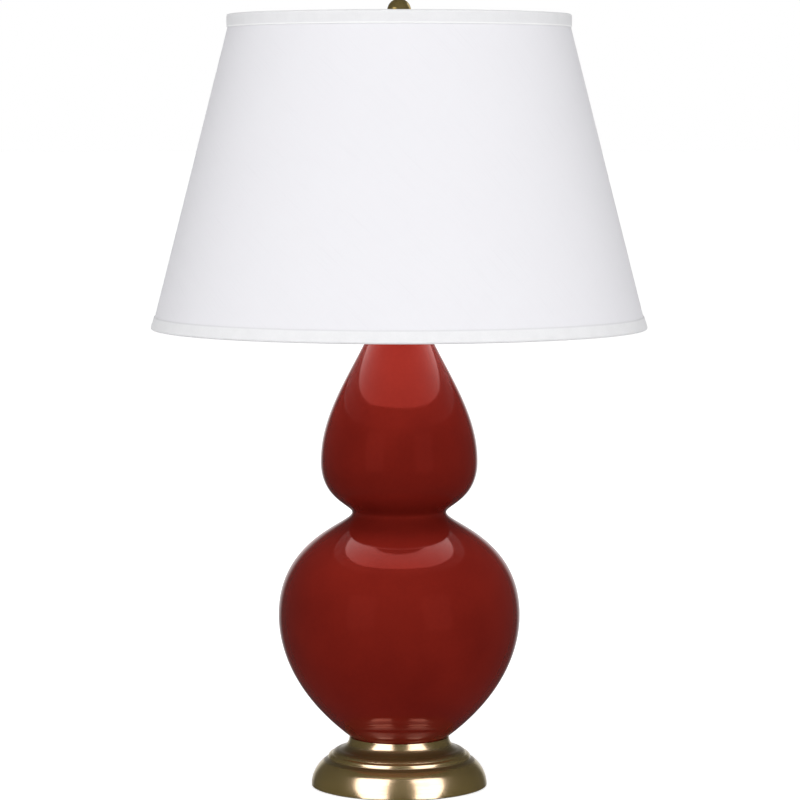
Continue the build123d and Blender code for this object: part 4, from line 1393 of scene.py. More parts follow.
@dataclass
class Gourd(SubAssembly):
    """Slip-cast double gourd: belly, waist, head and neck drawn through their stations.

    Each pair of pulls is how far the two handles of one curve stand off its ends, as shares of its
    rise, from the foot upwards.
    """

    foot: float = 46.5
    belly: Point = (121.3, 126.0)
    waist: Point = (47.4, 229.1)
    head: Point = (78.6, 279.9)
    neck: float = 21.0
    foot_slope: float = 36.2
    neck_slope: float = 21.3
    pulls: tuple[Point, ...] = ((0.486, 0.357), (0.75, 0.111), (0.145, 0.735), (0.368, 0.345))
    chamfer: float = 0.6
    wall: float = 6.0
    floor: float = 7.0
    hole: float = 9.0

    def outline(self) -> Pen:
        """The whole section of the pot, outside and inside.

        Returns:
            The closed outline.
        """
        low, top = span("gourd_body")
        corner = (self.foot, low + self.chamfer)
        belly, waist, head = ((r, low + z) for r, z in (self.belly, self.waist, self.head))
        neck = (self.neck, top)
        out, lean = math.radians(self.foot_slope), math.radians(self.neck_slope)
        rise, shoulder = belly[1] - corner[1], waist[1] - belly[1]
        tuck, crown = head[1] - waist[1], top - head[1]
        low_pull, shoulder_pull, tuck_pull, crown_pull = self.pulls
        away, under = low_pull[0] * rise, crown_pull[1] * crown
        pen = Pen(self.foot - self.chamfer, low)
        pen.line(*corner, ease=0.3)
        pen.cubic(
            (corner[0] + away * math.cos(out), corner[1] + away * math.sin(out)),
            (belly[0], belly[1] - low_pull[1] * rise),
            belly,
            steps=34,
        )
        pen.cubic(
            (belly[0], belly[1] + shoulder_pull[0] * shoulder),
            (waist[0], waist[1] - shoulder_pull[1] * shoulder),
            waist,
            steps=36,
        )
        pen.cubic(
            (waist[0], waist[1] + tuck_pull[0] * tuck),
            (head[0], head[1] - tuck_pull[1] * tuck),
            head,
            steps=30,
        )
        pen.cubic(
            (head[0], head[1] + crown_pull[0] * crown),
            (self.neck + under * math.tan(lean), top - under),
            neck,
            0.8,
            34,
        )
        outside = pen.drawn(1)
        pen.line(self.hole, top, 0.8, 3)
        lining = offset(outside, self.wall)[::-3]
        inside = [p for p in lining if low + self.floor + 1 < p[1] < top - self.floor]
        pen.line(self.hole, top - self.floor, 1.0)
        pen.trace(inside, 2.0)
        pen.line(self.hole, low + self.floor, 0.5)
        pen.line(self.hole, low, 0.5)
        return pen.close(0.3)

    def build(self) -> None:
        """Turns the pot."""
        self.turned("double_gourd", self.outline(), (Body.LAMP, Slot.GLAZE, "gourd_body"), turns=176)


@dataclass
class Neck(SubAssembly):
    """Brass cap over the gourd's lip and the turned riser that carries the harp's saddle."""

    cap_wall: float = 1.2
    bevel: float = 2.5
    pipe_hole: float = 4.95
    riser: float = 9.0
    lip_share: float = 0.2
    groove: float = 1.9

    def build(self) -> None:
        """Turns both pieces."""
        low, top = span("vase_cap")
        outer = reach("vase_cap")
        inner, under = outer - self.cap_wall, top - self.cap_wall
        cap = Pen(inner, low).line(outer, low, 0.3).line(outer, top - self.bevel, 1.5)
        cap.arc(outer - self.bevel, top, -0.5, 1.2).line(self.pipe_hole, top, 0.2, 3)
        cap.line(self.pipe_hole, under).line(inner - self.bevel, under, 1.0)
        cap.line(inner, under - self.bevel, 1.0)
        self.turned("neck_cap", cap.close(0.3, 0.3), (Body.LAMP, Slot.ANTIQUE_BRASS, "vase_cap"))

        low, top = span("neck_riser")
        lip = self.lip_share * (top - low)
        pen = Pen(self.pipe_hole, low).line(self.riser, low, 0.4).line(self.riser, low + lip, 0.5)
        pen.arc(self.riser, top - lip, self.groove, 0.5, 14).line(self.riser, top, 0.4)
        pen.line(self.pipe_hole, top, 0.3)
        where = (Body.LAMP, Slot.ANTIQUE_BRASS, "neck_riser")
        self.turned("neck_ring", pen.close(0.2, 0.2), where, turns=72)


@dataclass
class Harp(SubAssembly):
    """Sprung wire harp, its locking sleeves and the threaded stud that the shade sits on."""

    wire: float = 2.0
    foot_spread: float = 32.0
    half_width: float = 57.0
    straight: float = 34.0
    flare: float = 60.0
    low_bend: float = 45.0
    top_bend: float = 50.0
    bore: float = 3.3
    sleeve_wall: float = 0.9
    bell: float = 0.35
    tongue: float = 10.0
    notch_width: float = 12.0
    stud: float = 3.1
    stud_height: float = 13.0
    seat: float = 9.0
    seat_thickness: float = 2.4
    block: float = 5.5
    thread: float = 0.000941
    thread_depth: float = 0.00012

    def build(self) -> None:
        """Bends the wire, flattens its feet and turns the sleeves and stud."""
        foot, crown = span("harp_frame")
        top = crown - self.wire
        knee = foot + self.straight
        half = [(self.foot_spread, foot), (self.foot_spread, knee)]
        half += [(self.half_width, knee + self.flare), (self.half_width, top)]
        places = [(-x, 0.0, z) for x, z in half] + [(x, 0.0, z) for x, z in reversed(half)]
        radii = [self.low_bend, self.low_bend, self.top_bend]
        path = bent(places, [*radii, *reversed(radii)], 14)
        harp = self.shop.draw_wire("harp_wire", path, self.wire, Slot.HARP_BRASS)
        for side in (-1, 1):
            notch = (side * (self.foot_spread - self.wire), 0.0, foot - 0.1)
            size = (2 * self.wire, self.notch_width, 2 * self.tongue)
            harp = self.shop.cut(harp, self.shop.block(size, notch))
        self.keep(harp, Body.LAMP, Slot.HARP_BRASS, "harp_frame")
        for side, body in ((-1, Body.SLEEVE_LEFT), (1, Body.SLEEVE_RIGHT)):
            self.build_sleeve(side, body)
        self.build_stud()

    def build_sleeve(self, side: int, body: Body) -> None:
        """Turns one locking sleeve, belled at its foot.

        Args:
            side: -1 for the left foot, 1 for the right.
            body: the body it rides on.
        """
        node = "harp_" + body.value
        low, top = span(node)
        outer = self.bore + self.sleeve_wall
        mouth = outer + self.bell
        pen = Pen(self.bore, low).line(mouth, low, 0.25).line(mouth, low + 0.8, 0.3)
        pen.line(outer, low + 1.6, 0.3).line(outer, top - 0.9, 0.3).arc(self.bore, top, -0.25, 0.1, 6)
        sleeve = self.shop.turn(body.value + "_tube", pen.close(0.1, 0.2), Slot.HARP_BRASS, turns=40)
        self.shop.moved(sleeve, Matrix.Translation((side * self.foot_spread * MM, 0, 0)))
        self.keep(sleeve, body, Slot.HARP_BRASS, node)

    def build_stud(self) -> None:
        """Turns the block, seat and threaded stud on top of the harp."""
        low, tip = span("harp_stud")
        seat = tip - self.stud_height
        under = seat - self.seat_thickness
        pen = Pen(0, low).line(self.block, low, 0.6).line(self.block, under, 0.2)
        pen.line(self.seat, under, 0.4).line(self.seat, seat, 0.5).line(self.stud, seat, 0.2)
        pen.line(self.stud, tip - 0.6, 0.2, 120).line(self.stud - 0.6, tip, 0.2).line(0, tip)
        bite = bitten(seat + 1.2, tip - 0.8, 0.9 * self.stud, (0.8, 0.8))
        where = (Body.LAMP, Slot.SOCKET_BRASS, "harp_stud")
        thread = {"pitch": self.thread, "thread_depth": self.thread_depth}
        self.turned("harp_seat", pen, where, bite, turns=48, **thread)


@dataclass
class Socket(SubAssembly):
    """Pressed brass socket: cap, beaded shell with the switch's slot, screw shell and knob."""

    radius: float = 16.6
    wall: float = 0.7
    hub: float = 7.8
    hub_height: float = 6.0
    bowl_rise: float = 6.5
    pipe_hole: float = 4.95
    bead_drop: float = 9.0
    bead_half: float = 1.6
    slot_half: float = 3.5
    slot_depth: float = 12.0
    eye_half: float = 8.0
    knob: float = 6.4
    knob_length: float = 19.0
    flutes: int = 14
    flute_depth: float = 0.0009
    spindle: float = 2.0
    screw_throat: float = 12.5
    screw_wall: float = 0.45
    screw_pitch: float = 0.00363
    screw_depth: float = -0.00012

    def build(self) -> None:
        """Makes the cap, the shell, the screw shell and the knob."""
        low, rim = span("socket_cap")
        outer = reach("socket_cap")
        hub_top = low + self.hub_height
        pen = Pen(self.pipe_hole, low).line(self.hub, low, 0.5).line(self.hub, hub_top, 0.8)
        shoulder = (outer, hub_top + self.bowl_rise)
        pen.cubic((self.hub + 5.5, hub_top + 0.3), (outer, hub_top + 1.0), shoulder, steps=14)
        pen.line(outer, rim, 0.25)
        shell = pen.drawn(2)
        pen.line(outer - self.wall, rim, 0.25)
        pen.trace([p for p in offset(shell, self.wall)[::-1] if p[1] > hub_top + 0.8][1:], 0.3)
        pen.line(self.pipe_hole, hub_top + self.wall, 0.2)
        self.turned("socket_bowl", pen.close(), (Body.LAMP, Slot.SOCKET_BRASS, "socket_cap"), turns=72)
        self.build_shell()
        self.build_screw_shell()
        self.build_knob()

    def build_shell(self) -> None:
        """Turns the shell with its pressed beads and cuts the slot for the spindle."""
        low, top = span("socket_shell")
        bead = top - self.bead_drop
        under, over = bead - self.bead_half, bead + self.bead_half
        outer, inner = self.radius, self.radius - self.wall
        pen = Pen(inner, low).line(outer, low, 0.2).line(outer, under, 0.5)
        pen.arc(outer, over, -self.wall, 0.5, 8).line(outer, top, 0.3).line(inner, top, 0.3)
        pen.line(inner, over, 0.5).arc(inner, under, self.wall * 0.9, 0.5, 8)
        shell = self.shop.turn("socket_tube", pen.close(0.2, 0.2), Slot.SOCKET_BRASS, turns=72)
        height = self.switch_height()
        size = (2 * self.slot_half, self.slot_depth, height - low + 4)
        shell = self.shop.cut(shell, self.shop.block(size, (0, -self.radius, (height + low) / 2 - 2)))
        axis = self.on_switch(self.radius)
        eye = self.shop.drill(self.slot_half, self.eye_half, Slot.SOCKET_BRASS, 40, axis)
        self.keep(self.shop.cut(shell, eye), Body.LAMP, Slot.SOCKET_BRASS, "socket_shell")

    @staticmethod
    def switch_height() -> float:
        """Height of the switch's axis, in millimetres."""
        low, high = span("switch_knob")
        return (low + high) / 2

    def on_switch(self, out: float) -> Matrix:
        """The place on the switch's axis so many millimetres out, with Z pointing outwards."""
        stand = Matrix.Translation((0, -out * MM, self.switch_height() * MM))
        return stand @ Matrix.Rotation(math.pi / 2, 4, "X")

    def build_screw_shell(self) -> None:
        """Rolls the threaded shell that takes the bulb."""
        low, top = span("screw_shell")
        outer = reach("screw_shell")
        inner = outer - self.screw_wall
        pen = Pen(self.screw_throat, low).line(outer, low, 0.4).line(outer, top, 0.15, 44)
        pen.line(inner, top, 0.15).line(inner, low + 0.5, 0.3, 44).line(self.screw_throat, low + 0.5)
        bite = bitten(low + 2, top, inner - 0.1, (2, 2))
        where = (Body.LAMP, Slot.CONTACT_BRASS, "screw_shell")
        thread = {"pitch": self.screw_pitch, "thread_depth": self.screw_depth}
        self.turned("lamp_screw_shell", pen.close(), where, bite, turns=60, **thread)

    def build_knob(self) -> None:
        """Turns the fluted knob and lays it on the switch's axis."""
        near = -corners("switch_knob")[1].y
        length, grip = self.knob_length, 0.7 * self.knob_length
        neck = 0.62 * self.knob
        pen = Pen(self.spindle, 0).line(neck, 0, 0.4).line(neck, length - grip - 0.4, 0.8)
        pen.line(self.knob, length - grip + 0.6, 0.9).line(self.knob, length - 1.0, 0.8, 8)
        pen.arc(self.knob - 1.6, length, -0.35, 0.5).arc(0, length, -0.25, 0, 6)
        shaft = 0.6 * length
        bite = bitten(length - grip + 0.2, length - 0.3, neck + 0.4, (1.2, 1.0))
        points = [(0.0, shaft), (self.spindle, shaft), *pen.points()]
        cuts = {"flutes": self.flutes, "flute_depth": self.flute_depth}
        knob = self.shop.turn("turn_knob", points, Slot.PHENOLIC, bite, turns=112, **cuts)
        self.keep(self.shop.moved(knob, self.on_switch(near)), Body.SWITCH, Slot.PHENOLIC, "switch_knob")


@dataclass
class Bulb(SubAssembly):
    """Pear-shaped frosted bulb on its rolled screw cap."""

    radius: float = 33.5
    neck: float = 14.2
    cap: float = 13.0
    cap_wall: float = 0.5
    screw_inset: float = 0.25
    insulator: float = 9.0
    contact: float = 2.5
    glass: float = 1.0
    pitch: float = 0.00363
    thread_depth: float = -0.00024

    def build(self) -> None:
        """Blows the glass and rolls the cap."""
        low, rim = span("bulb_cap")
        foot, crown = span("bulb_globe")
        throat = self.cap - 0.6
        wide = crown - self.radius
        start = rim + 2 * (self.neck - throat)
        tall = wide - start
        pen = Pen(throat, foot).line(throat, rim, 0.5)
        pen.cubic((throat, rim + 1.6), (self.neck, start - 1.6), (self.neck, start), steps=6)
        end = (self.radius, wide)
        pen.cubic((self.neck, start + 0.45 * tall), (self.radius, wide - 0.5 * tall), end, steps=26)
        pen.arc(0, crown, -self.radius * (1 - math.sqrt(0.5)), 0, 22)
        inside = [(0.0, crown - self.glass), *offset(pen.drawn(), self.glass)[-2::-2]]
        foot_edge = [(throat - self.glass, foot), (throat, foot)]
        points = [*pen.points(), *[p for p in inside if p[0] >= 0], *foot_edge]
        self.turned("bulb_glass", points, (Body.BULB, Slot.FROSTED_GLASS, "bulb_globe"))

        inner, screw = self.cap - self.cap_wall, self.cap - self.screw_inset
        cap = Pen(self.insulator, low).line(self.cap - 2.0, low, 0.4).line(screw, low + 2.2, 0.5)
        cap.line(screw, rim - 3.2, 0.6, 60).line(self.cap, rim - 2.6, 0.3).line(self.cap, rim, 0.2)
        cap.line(inner, rim, 0.1).line(inner, low + 2.4, 0.5).line(self.insulator, low + 0.5)
        bite = bitten(low + 2.4, rim - 4.0, inner + 0.1, (2.5, 2.5))
        where = (Body.BULB, Slot.BULB_ALUMINIUM, "bulb_cap")
        thread = {"pitch": self.pitch, "thread_depth": self.thread_depth}
        self.turned("bulb_screw_cap", cap.close(), where, bite, turns=96, **thread)

        bottom, top = span("bulb_insulator")
        ring = Pen(self.contact, bottom).line(self.contact + 3.0, bottom, 0.5).line(self.insulator, low, 0.6)
        ring.line(self.insulator, top, 0.1).line(self.contact, top)
        where = (Body.BULB, Slot.BLACK_GLASS, "bulb_insulator")
        self.turned("bulb_glass_insulator", ring.close(), where, turns=64)

        tip, top = span("bulb_contact")
        radius = self.contact - 0.1
        blob = Pen(0, tip).arc(radius, bottom + 0.2, -0.45, 0.2, 8).line(radius, top, 0.1).line(0, top)
        self.turned("bulb_solder_tip", blob, (Body.BULB, Slot.SOLDER, "bulb_contact"), turns=32)


@dataclass
class Shade(SubAssembly):
    """Empire shade: cloth on a styrene backing, taped round two rings and hung from its fitter."""

    top: float = 167.6
    bottom: float = 245.9
    cloth: float = 0.5
    styrene: float = 0.6
    glue: float = 0.1
    ring: float = 2.0
    tape: float = 0.8
    turn_in: float = 4.0
    washer: float = 15.0
    washer_thickness: float = 1.8
    hole: float = 3.5
    arm: float = 1.7
    arm_bend: float = 12.0
    arm_gap: float = 0.5
    arms: int = 3
    overlap: float = 14.0
    lap_lift: float = 0.45
    columns: int = 244
    rows: int = 10
    turns: int = 240

    def levels(self) -> tuple[float, float]:
        """Heights of the cloth's two edges, which are also those of the rings' centres."""
        return span("shade_cover")

    def radius(self, height: float) -> float:
        """Outer radius of the cloth at a height."""
        low, high = self.levels()
        return self.top + (self.bottom - self.top) * (high - height) / (high - low)

    def build(self) -> None:
        """Makes the cloth, lining, tapes and fitter."""
        self.keep(self.build_cloth(), Body.SHADE, Slot.SHADE_CLOTH, "shade_cover")
        low, high = self.levels()
        near = self.cloth + self.glue
        far = near + self.styrene
        levels = (low, (low + high) / 2, high)
        wall = [(self.radius(z) - near, z) for z in levels]
        back = [(self.radius(z) - far, z) for z in reversed(levels)]
        where = (Body.SHADE, Slot.STYRENE, "shade_lining")
        self.turned("shade_backing", [*wall, *back, wall[0]], where, turns=self.turns)
        self.keep(self.build_top_tape(), Body.SHADE, Slot.TAPE, "shade_top_trim")
        self.keep(self.build_bottom_tape(), Body.SHADE, Slot.TAPE, "shade_bottom_trim")
        self.keep(self.build_fitter(), Body.SHADE, Slot.FITTER_WIRE, "shade_fitter")

    def build_cloth(self) -> bpy.types.Object:
        """Rolls the flat cloth into its cone, lapped over itself at the back.

        Returns:
            A thin closed sheet whose UV map is the flat cloth in metres.
        """
        low, high = self.levels()
        slant = math.hypot(self.bottom - self.top, high - low)
        apex = slant * self.top / (self.bottom - self.top)
        spread = self.top / apex
        lap = self.overlap / self.bottom
        shape = bmesh.new()
        layer = shape.loops.layers.uv.new("UVMap")
        flat: dict[bmesh.types.BMVert, Point] = {}
        skins = []
        for depth in (0.0, self.cloth):
            grid = []
            for i in range(self.columns + 1):
                turn = (math.tau + lap) * (i / self.columns)
                over = self.lap_lift * min(1.0, max(0.0, turn - math.tau) / (0.3 * lap))
                angle = math.pi / 2 + turn - lap / 2
                column = []
                for j in range(self.rows + 1):
                    height = low + (high - low) * j / self.rows
                    away = self.radius(height) - depth + over
                    place = (away * math.cos(angle), away * math.sin(angle), height)
                    vert = shape.verts.new([c * MM for c in place])
                    ray = (apex + slant * (1 - j / self.rows)) * MM
                    flat[vert] = (ray * math.sin(turn * spread), -ray * math.cos(turn * spread))
                    column.append(vert)
                grid.append(column)
            skins.append(grid)
        self.skin(shape, *skins)
        for face in shape.faces:
            for loop in face.loops:
                loop[layer].uv = flat[loop.vert]
        cloth = cast("shade_cloth_cone", shape)
        cloth.data.materials.append(self.shop.finishes[Slot.SHADE_CLOTH])
        return self.shop.finish_edges(cloth)

    @staticmethod
    def skin(shape: bmesh.types.BMesh, outer: Grid, inner: Grid) -> None:
        """Closes two grids of vertices into a thin solid sheet.

        Args:
            shape: the bmesh that holds the vertices.
            outer: columns of the outer side.
            inner: columns of the inner side.
        """
        last, top = len(outer) - 1, len(outer[0]) - 1
        for i in range(last):
            for j in range(top):
                shape.faces.new((outer[i][j], outer[i + 1][j], outer[i + 1][j + 1], outer[i][j + 1]))
                shape.faces.new((inner[i][j + 1], inner[i + 1][j + 1], inner[i + 1][j], inner[i][j]))
            shape.faces.new((inner[i][0], inner[i + 1][0], outer[i + 1][0], outer[i][0]))
            shape.faces.new((outer[i][top], outer[i + 1][top], inner[i + 1][top], inner[i][top]))
        for j in range(top):
            shape.faces.new((inner[0][j], outer[0][j], outer[0][j + 1], inner[0][j + 1]))
            shape.faces.new((outer[last][j], inner[last][j], inner[last][j + 1], outer[last][j + 1]))

    def ring_radius(self, height: float) -> float:
        """Centre radius of the wire ring at a height.

        Args:
            height: the ring's height.

        Returns:
            The radius to the middle of the wire.
        """
        low, high = self.levels()
        taper = (self.bottom - self.top) / (high - low)
        skin = self.cloth + self.styrene + self.glue
        return self.radius(height) - skin - self.glue - self.ring * math.hypot(1, taper)

    def tape_inside(self, ring: float) -> float:
        """Inner radius of the tape that is rolled over the ring at a height."""
        return self.ring_radius(ring) - self.ring - self.glue - self.tape

    def build_top_tape(self) -> bpy.types.Object:
        """Rolls the tape over the top ring and notches it for the fitter's arms.

        Returns:
            The tape.
        """
        base, top = span("shade_top_trim")
        ring = self.levels()[1]
        face = reach("shade_top_trim")
        inner = self.tape_inside(ring)
        back = inner + self.tape
        flap = base + self.turn_in
        start = self.radius(base) + self.glue
        pen = Pen(start, base).line(start + self.tape, base, 0.35).line(face, top - 2.6, 1.2, 4)
        pen.cubic((face, top - 0.6), (face - 1.2, top), (face - 3.2, top), steps=8)
        pen.line(inner + 2.6, top, 0.5)
        pen.cubic((inner + 0.8, top), (inner, top - 0.8), (inner, top - 2.8), steps=8)
        pen.line(inner, flap, 0.35).line(back, flap, 0.35).line(back, top - 2.6, 1.0)
        pen.line(inner + 2.8, top - self.tape, 0.6).line(face - 4.4, top - self.tape, 0.6)
        pen.line(self.radius(ring) + self.glue, ring - 0.6, 0.6)
        tape = self.shop.turn("top_tape", pen.close(), Slot.TAPE, turns=self.turns)
        return self.shop.cut(tape, self.build_arms("cutter", self.arm + self.arm_gap))

    def build_bottom_tape(self) -> bpy.types.Object:
        """Rolls the tape under the bottom ring.

        Returns:
            The tape.
        """
        low, top = span("shade_bottom_trim")
        ring = self.levels()[0]
        face = reach("shade_bottom_trim")
        inner = self.tape_inside(ring)
        back = inner + self.tape
        flap = top - self.turn_in
        start = self.radius(top) + self.glue
        edge = self.radius(ring) + self.glue
        pen = Pen(start + self.tape, top).line(start, top, 0.35).line(edge, ring, 0.5)
        pen.line(edge, low + 2.4, 0.8).line(inner + 2.2, low + self.tape, 0.8)
        pen.line(back, low + 2.6, 0.8).line(back, flap, 0.35).line(inner, flap, 0.35)
        pen.line(inner, low + 2.8, 0.5)
        pen.cubic((inner, low + 0.8), (inner + 0.8, low), (inner + 2.6, low), steps=8)
        pen.line(face - 2.4, low, 0.4)
        pen.cubic((face - 0.8, low), (face, low + 0.8), (face - 0.05, low + 2.4), steps=8)
        return self.shop.turn("bottom_tape", pen.close(0.6, 0.35), Slot.TAPE, turns=self.turns)

    def build_arms(self, name: str, gauge: float) -> bpy.types.Object:
        """Bends one arm of the fitter to a gauge and sets three round the axis.

        Args:
            name: the name of the arms' mesh.
            gauge: their radius.

        Returns:
            The arms, as one piece.
        """
        ring = self.levels()[1]
        level = span("shade_fitter")[0] + (self.washer_thickness + self.arm) / 2
        stations = ((0.75 * self.washer, level), (self.washer + 8.0, level), (self.ring_radius(ring), ring))
        path = bent([(x, 0.0, z) for x, z in stations], [self.arm_bend], 8)
        arm = self.shop.draw_wire(name, path, gauge, Slot.FITTER_WIRE, 16)
        return self.shop.space(name, arm, self.arms, math.pi / 2, Slot.FITTER_WIRE)

    def build_fitter(self) -> bpy.types.Object:
        """The washer with its three arms.

        Returns:
            The fitter.
        """
        low = span("shade_fitter")[0]
        top = low + self.washer_thickness
        pen = Pen(self.hole, low).line(self.washer, low, 0.3).line(self.washer, top, 0.3)
        pen.line(self.hole, top, 0.3)
        washer = self.shop.turn("washer", pen.close(0.3, 0.3), Slot.FITTER_WIRE, turns=72)
        return self.shop.joined("shade_spider", washer, self.build_arms("arms", self.arm))

    def dress(self) -> None:
        super().dress()
        cloth = next(piece for piece, _, slot, _ in self.made if slot is Slot.SHADE_CLOTH)


@dataclass
class Finial(SubAssembly):
    """Turned brass finial: flange, waisted neck and ball."""

    ball: float = 12.0
    neck: float = 4.6
    flange: float = 9.0
    rim: float = 2.0
    neck_hollow: float = 0.12
    hole: float = 3.2
    hole_depth: float = 14.5
    hole_tip: float = 1.5
    steps: int = 40

    def build(self) -> None:
        """Turns the finial in one piece."""
        low, top = span("finial")
        middle = top - self.ball
        under = middle - math.sqrt(self.ball**2 - self.neck**2)
        pen = Pen(self.hole, low).line(self.flange, low, 0.4).line(self.flange, low + self.rim, 0.5)
        pen.arc(self.neck, under, self.neck_hollow * (self.flange - self.neck), 0.4, 12)
        start = math.atan2(under - middle, self.neck)
        turns = [start + (math.pi / 2 - start) * i / self.steps for i in range(1, self.steps + 1)]
        pen.trace([(max(0.0, self.ball * math.cos(t)), middle + self.ball * math.sin(t)) for t in turns])
        drilled = low + self.hole_depth
        points = [(0.0, drilled + self.hole_tip), (self.hole, drilled), *pen.points()]
        self.turned("ball_finial", points, (Body.FINIAL, Slot.ANTIQUE_BRASS, "finial"), turns=80)


@dataclass
class Hardware(SubAssembly):
    """CAD nodes that stay as they are and only get their finish."""

    coats: dict[str, Slot] = field(
        default_factory=lambda: {
            "base_weight": Slot.CAST_IRON,
            "bottom_washer": Slot.PLATED_STEEL,
            "bottom_nut": Slot.PLATED_STEEL,
            "foot_gasket": Slot.RUBBER,
            "neck_gasket": Slot.RUBBER,
            "harp_saddle": Slot.PLATED_STEEL,
            "cap_set_screw": Slot.PLATED_STEEL,
            "socket_liner": Slot.CARD,
            "socket_core": Slot.PHENOLIC,
            "terminal_screws": Slot.CONTACT_BRASS,
            "centre_contact": Slot.CONTACT_BRASS,
            "switch_spindle": Slot.PLATED_STEEL,
            "shade_top_ring": Slot.FITTER_WIRE,
            "shade_bottom_ring": Slot.FITTER_WIRE,
        }
    )

    def build(self) -> None:
        """Nothing to make: the solids are right as they are."""

    def dress(self) -> None:
        """Puts each node's finish in its material slots."""
        coats = {node: self.shop.finishes[slot] for node, slot in self.coats.items()}
        coats["lamp_pipe"] = PIPE_THREAD.material()
        for node, material in coats.items():
            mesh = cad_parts[node].data
            if not mesh.materials:
                mesh.materials.append(material)
            for i in range(len(mesh.materials)):
                mesh.materials[i] = material
            log.info("%s: kept, %s", node, material.name)


# ---------------------------------------------------------------- studio
CLOTH_PIECES = ("shade_cloth_cone", "top_tape", "bottom_tape")
FITTINGS = (
    "ball_finial", "neck_cap", "neck_ring", "harp_wire", "harp_seat", "harp_saddle", "sleeve_left_tube",
    "sleeve_right_tube", "socket_bowl", "socket_tube", "lamp_screw_shell", "bulb_screw_cap", "shade_spider",
    "shade_top_ring", "shade_bottom_ring", "lamp_pipe", "turn_knob",
)
CARD_TINT: Colour = (0.95, 0.93, 1.65)
WHITE: Colour = (1.0, 1.0, 1.0)


class Shows(Enum):
    """What a lamp gives: light alone, or a reflection alone, as a white card does."""

    LIGHT = "light"
    REFLECTION = "reflection"


@dataclass(frozen=True)
class Softbox:
    """One area lamp or card of the studio: an oblong, a disc or an oval; brightness 1 is white."""

    name: str
    place: tuple[float, float, float]
    aim: tuple[float, float, float]
    size: Point
    brightness: float
    shows: Shows = Shows.LIGHT
    lit: tuple[str, ...] = ()
    shape: str = "RECTANGLE"
    tint: Colour = WHITE
    roll: float = 0.0
    hole: float = 0.0
    hole_edge: float = 0.02

    def both_sides(self) -> tuple["Softbox", "Softbox"]:
        """This lamp on the left and its mirror image on the right.

        Returns:
            The left lamp and the right one.
        """
        x, y, z = self.place
        left = replace(self, name="left_" + self.name)
        return left, replace(self, name="right_" + self.name, place=(-x, y, z))

    def pierce(self, light: bpy.types.AreaLight) -> None:
        """Leaves the middle of the lamp dark, out to `hole` of its half size.

        Args:
            light: the lamp's own data.
        """
        book = Book.of(light)
        spot = book.add("ShaderNodeNewGeometry", None, None, "Parametric")
        middle = book.vectors("SUBTRACT", spot, (0.5, 0.5, 0.0))
        flat = book.vectors("MULTIPLY", middle, (2.0, 2.0 * self.size[1] / self.size[0], 0.0))
        away = book.also(book.vectors("LENGTH", flat), "Value")
        level = book.between(away, self.hole - self.hole_edge, self.hole + self.hole_edge)
        glow = book.add("ShaderNodeEmission", None, {"Color": level, "Strength": 1.0})
        book.add("ShaderNodeOutputLight", None, {"Surface": glow})

    def hang(self, pieces: Sequence[bpy.types.Object]) -> None:
        """Puts the lamp in the scene.

        Args:
            pieces: the lamp's pieces; where some are named in `lit`, only those are lit.
        """
        light = bpy.data.lights.new(self.name, "AREA")
        light.shape = self.shape
        light.size, light.size_y = self.size
        light.color = self.tint
        light.energy = self.brightness * math.pi * self.size[0] * self.size[1]
        if self.hole:
            self.pierce(light)
        lamp = link(self.name, light)
        lamp.location = self.place
        facing = (Vector(self.aim) - Vector(self.place)).to_track_quat("-Z", "Y").to_matrix()
        lamp.rotation_euler = (facing @ Matrix.Rotation(math.radians(self.roll), 3, "Z")).to_euler()
        lamp.visible_camera = False
        lamp.visible_glossy = self.shows is Shows.REFLECTION
        lamp.visible_diffuse = self.shows is Shows.LIGHT
        if self.lit:
            receivers = bpy.data.collections.new(self.name)
            for piece in pieces:
                if piece.name in self.lit:
                    receivers.objects.link(piece)
            lamp.light_linking.receiver_collection = receivers


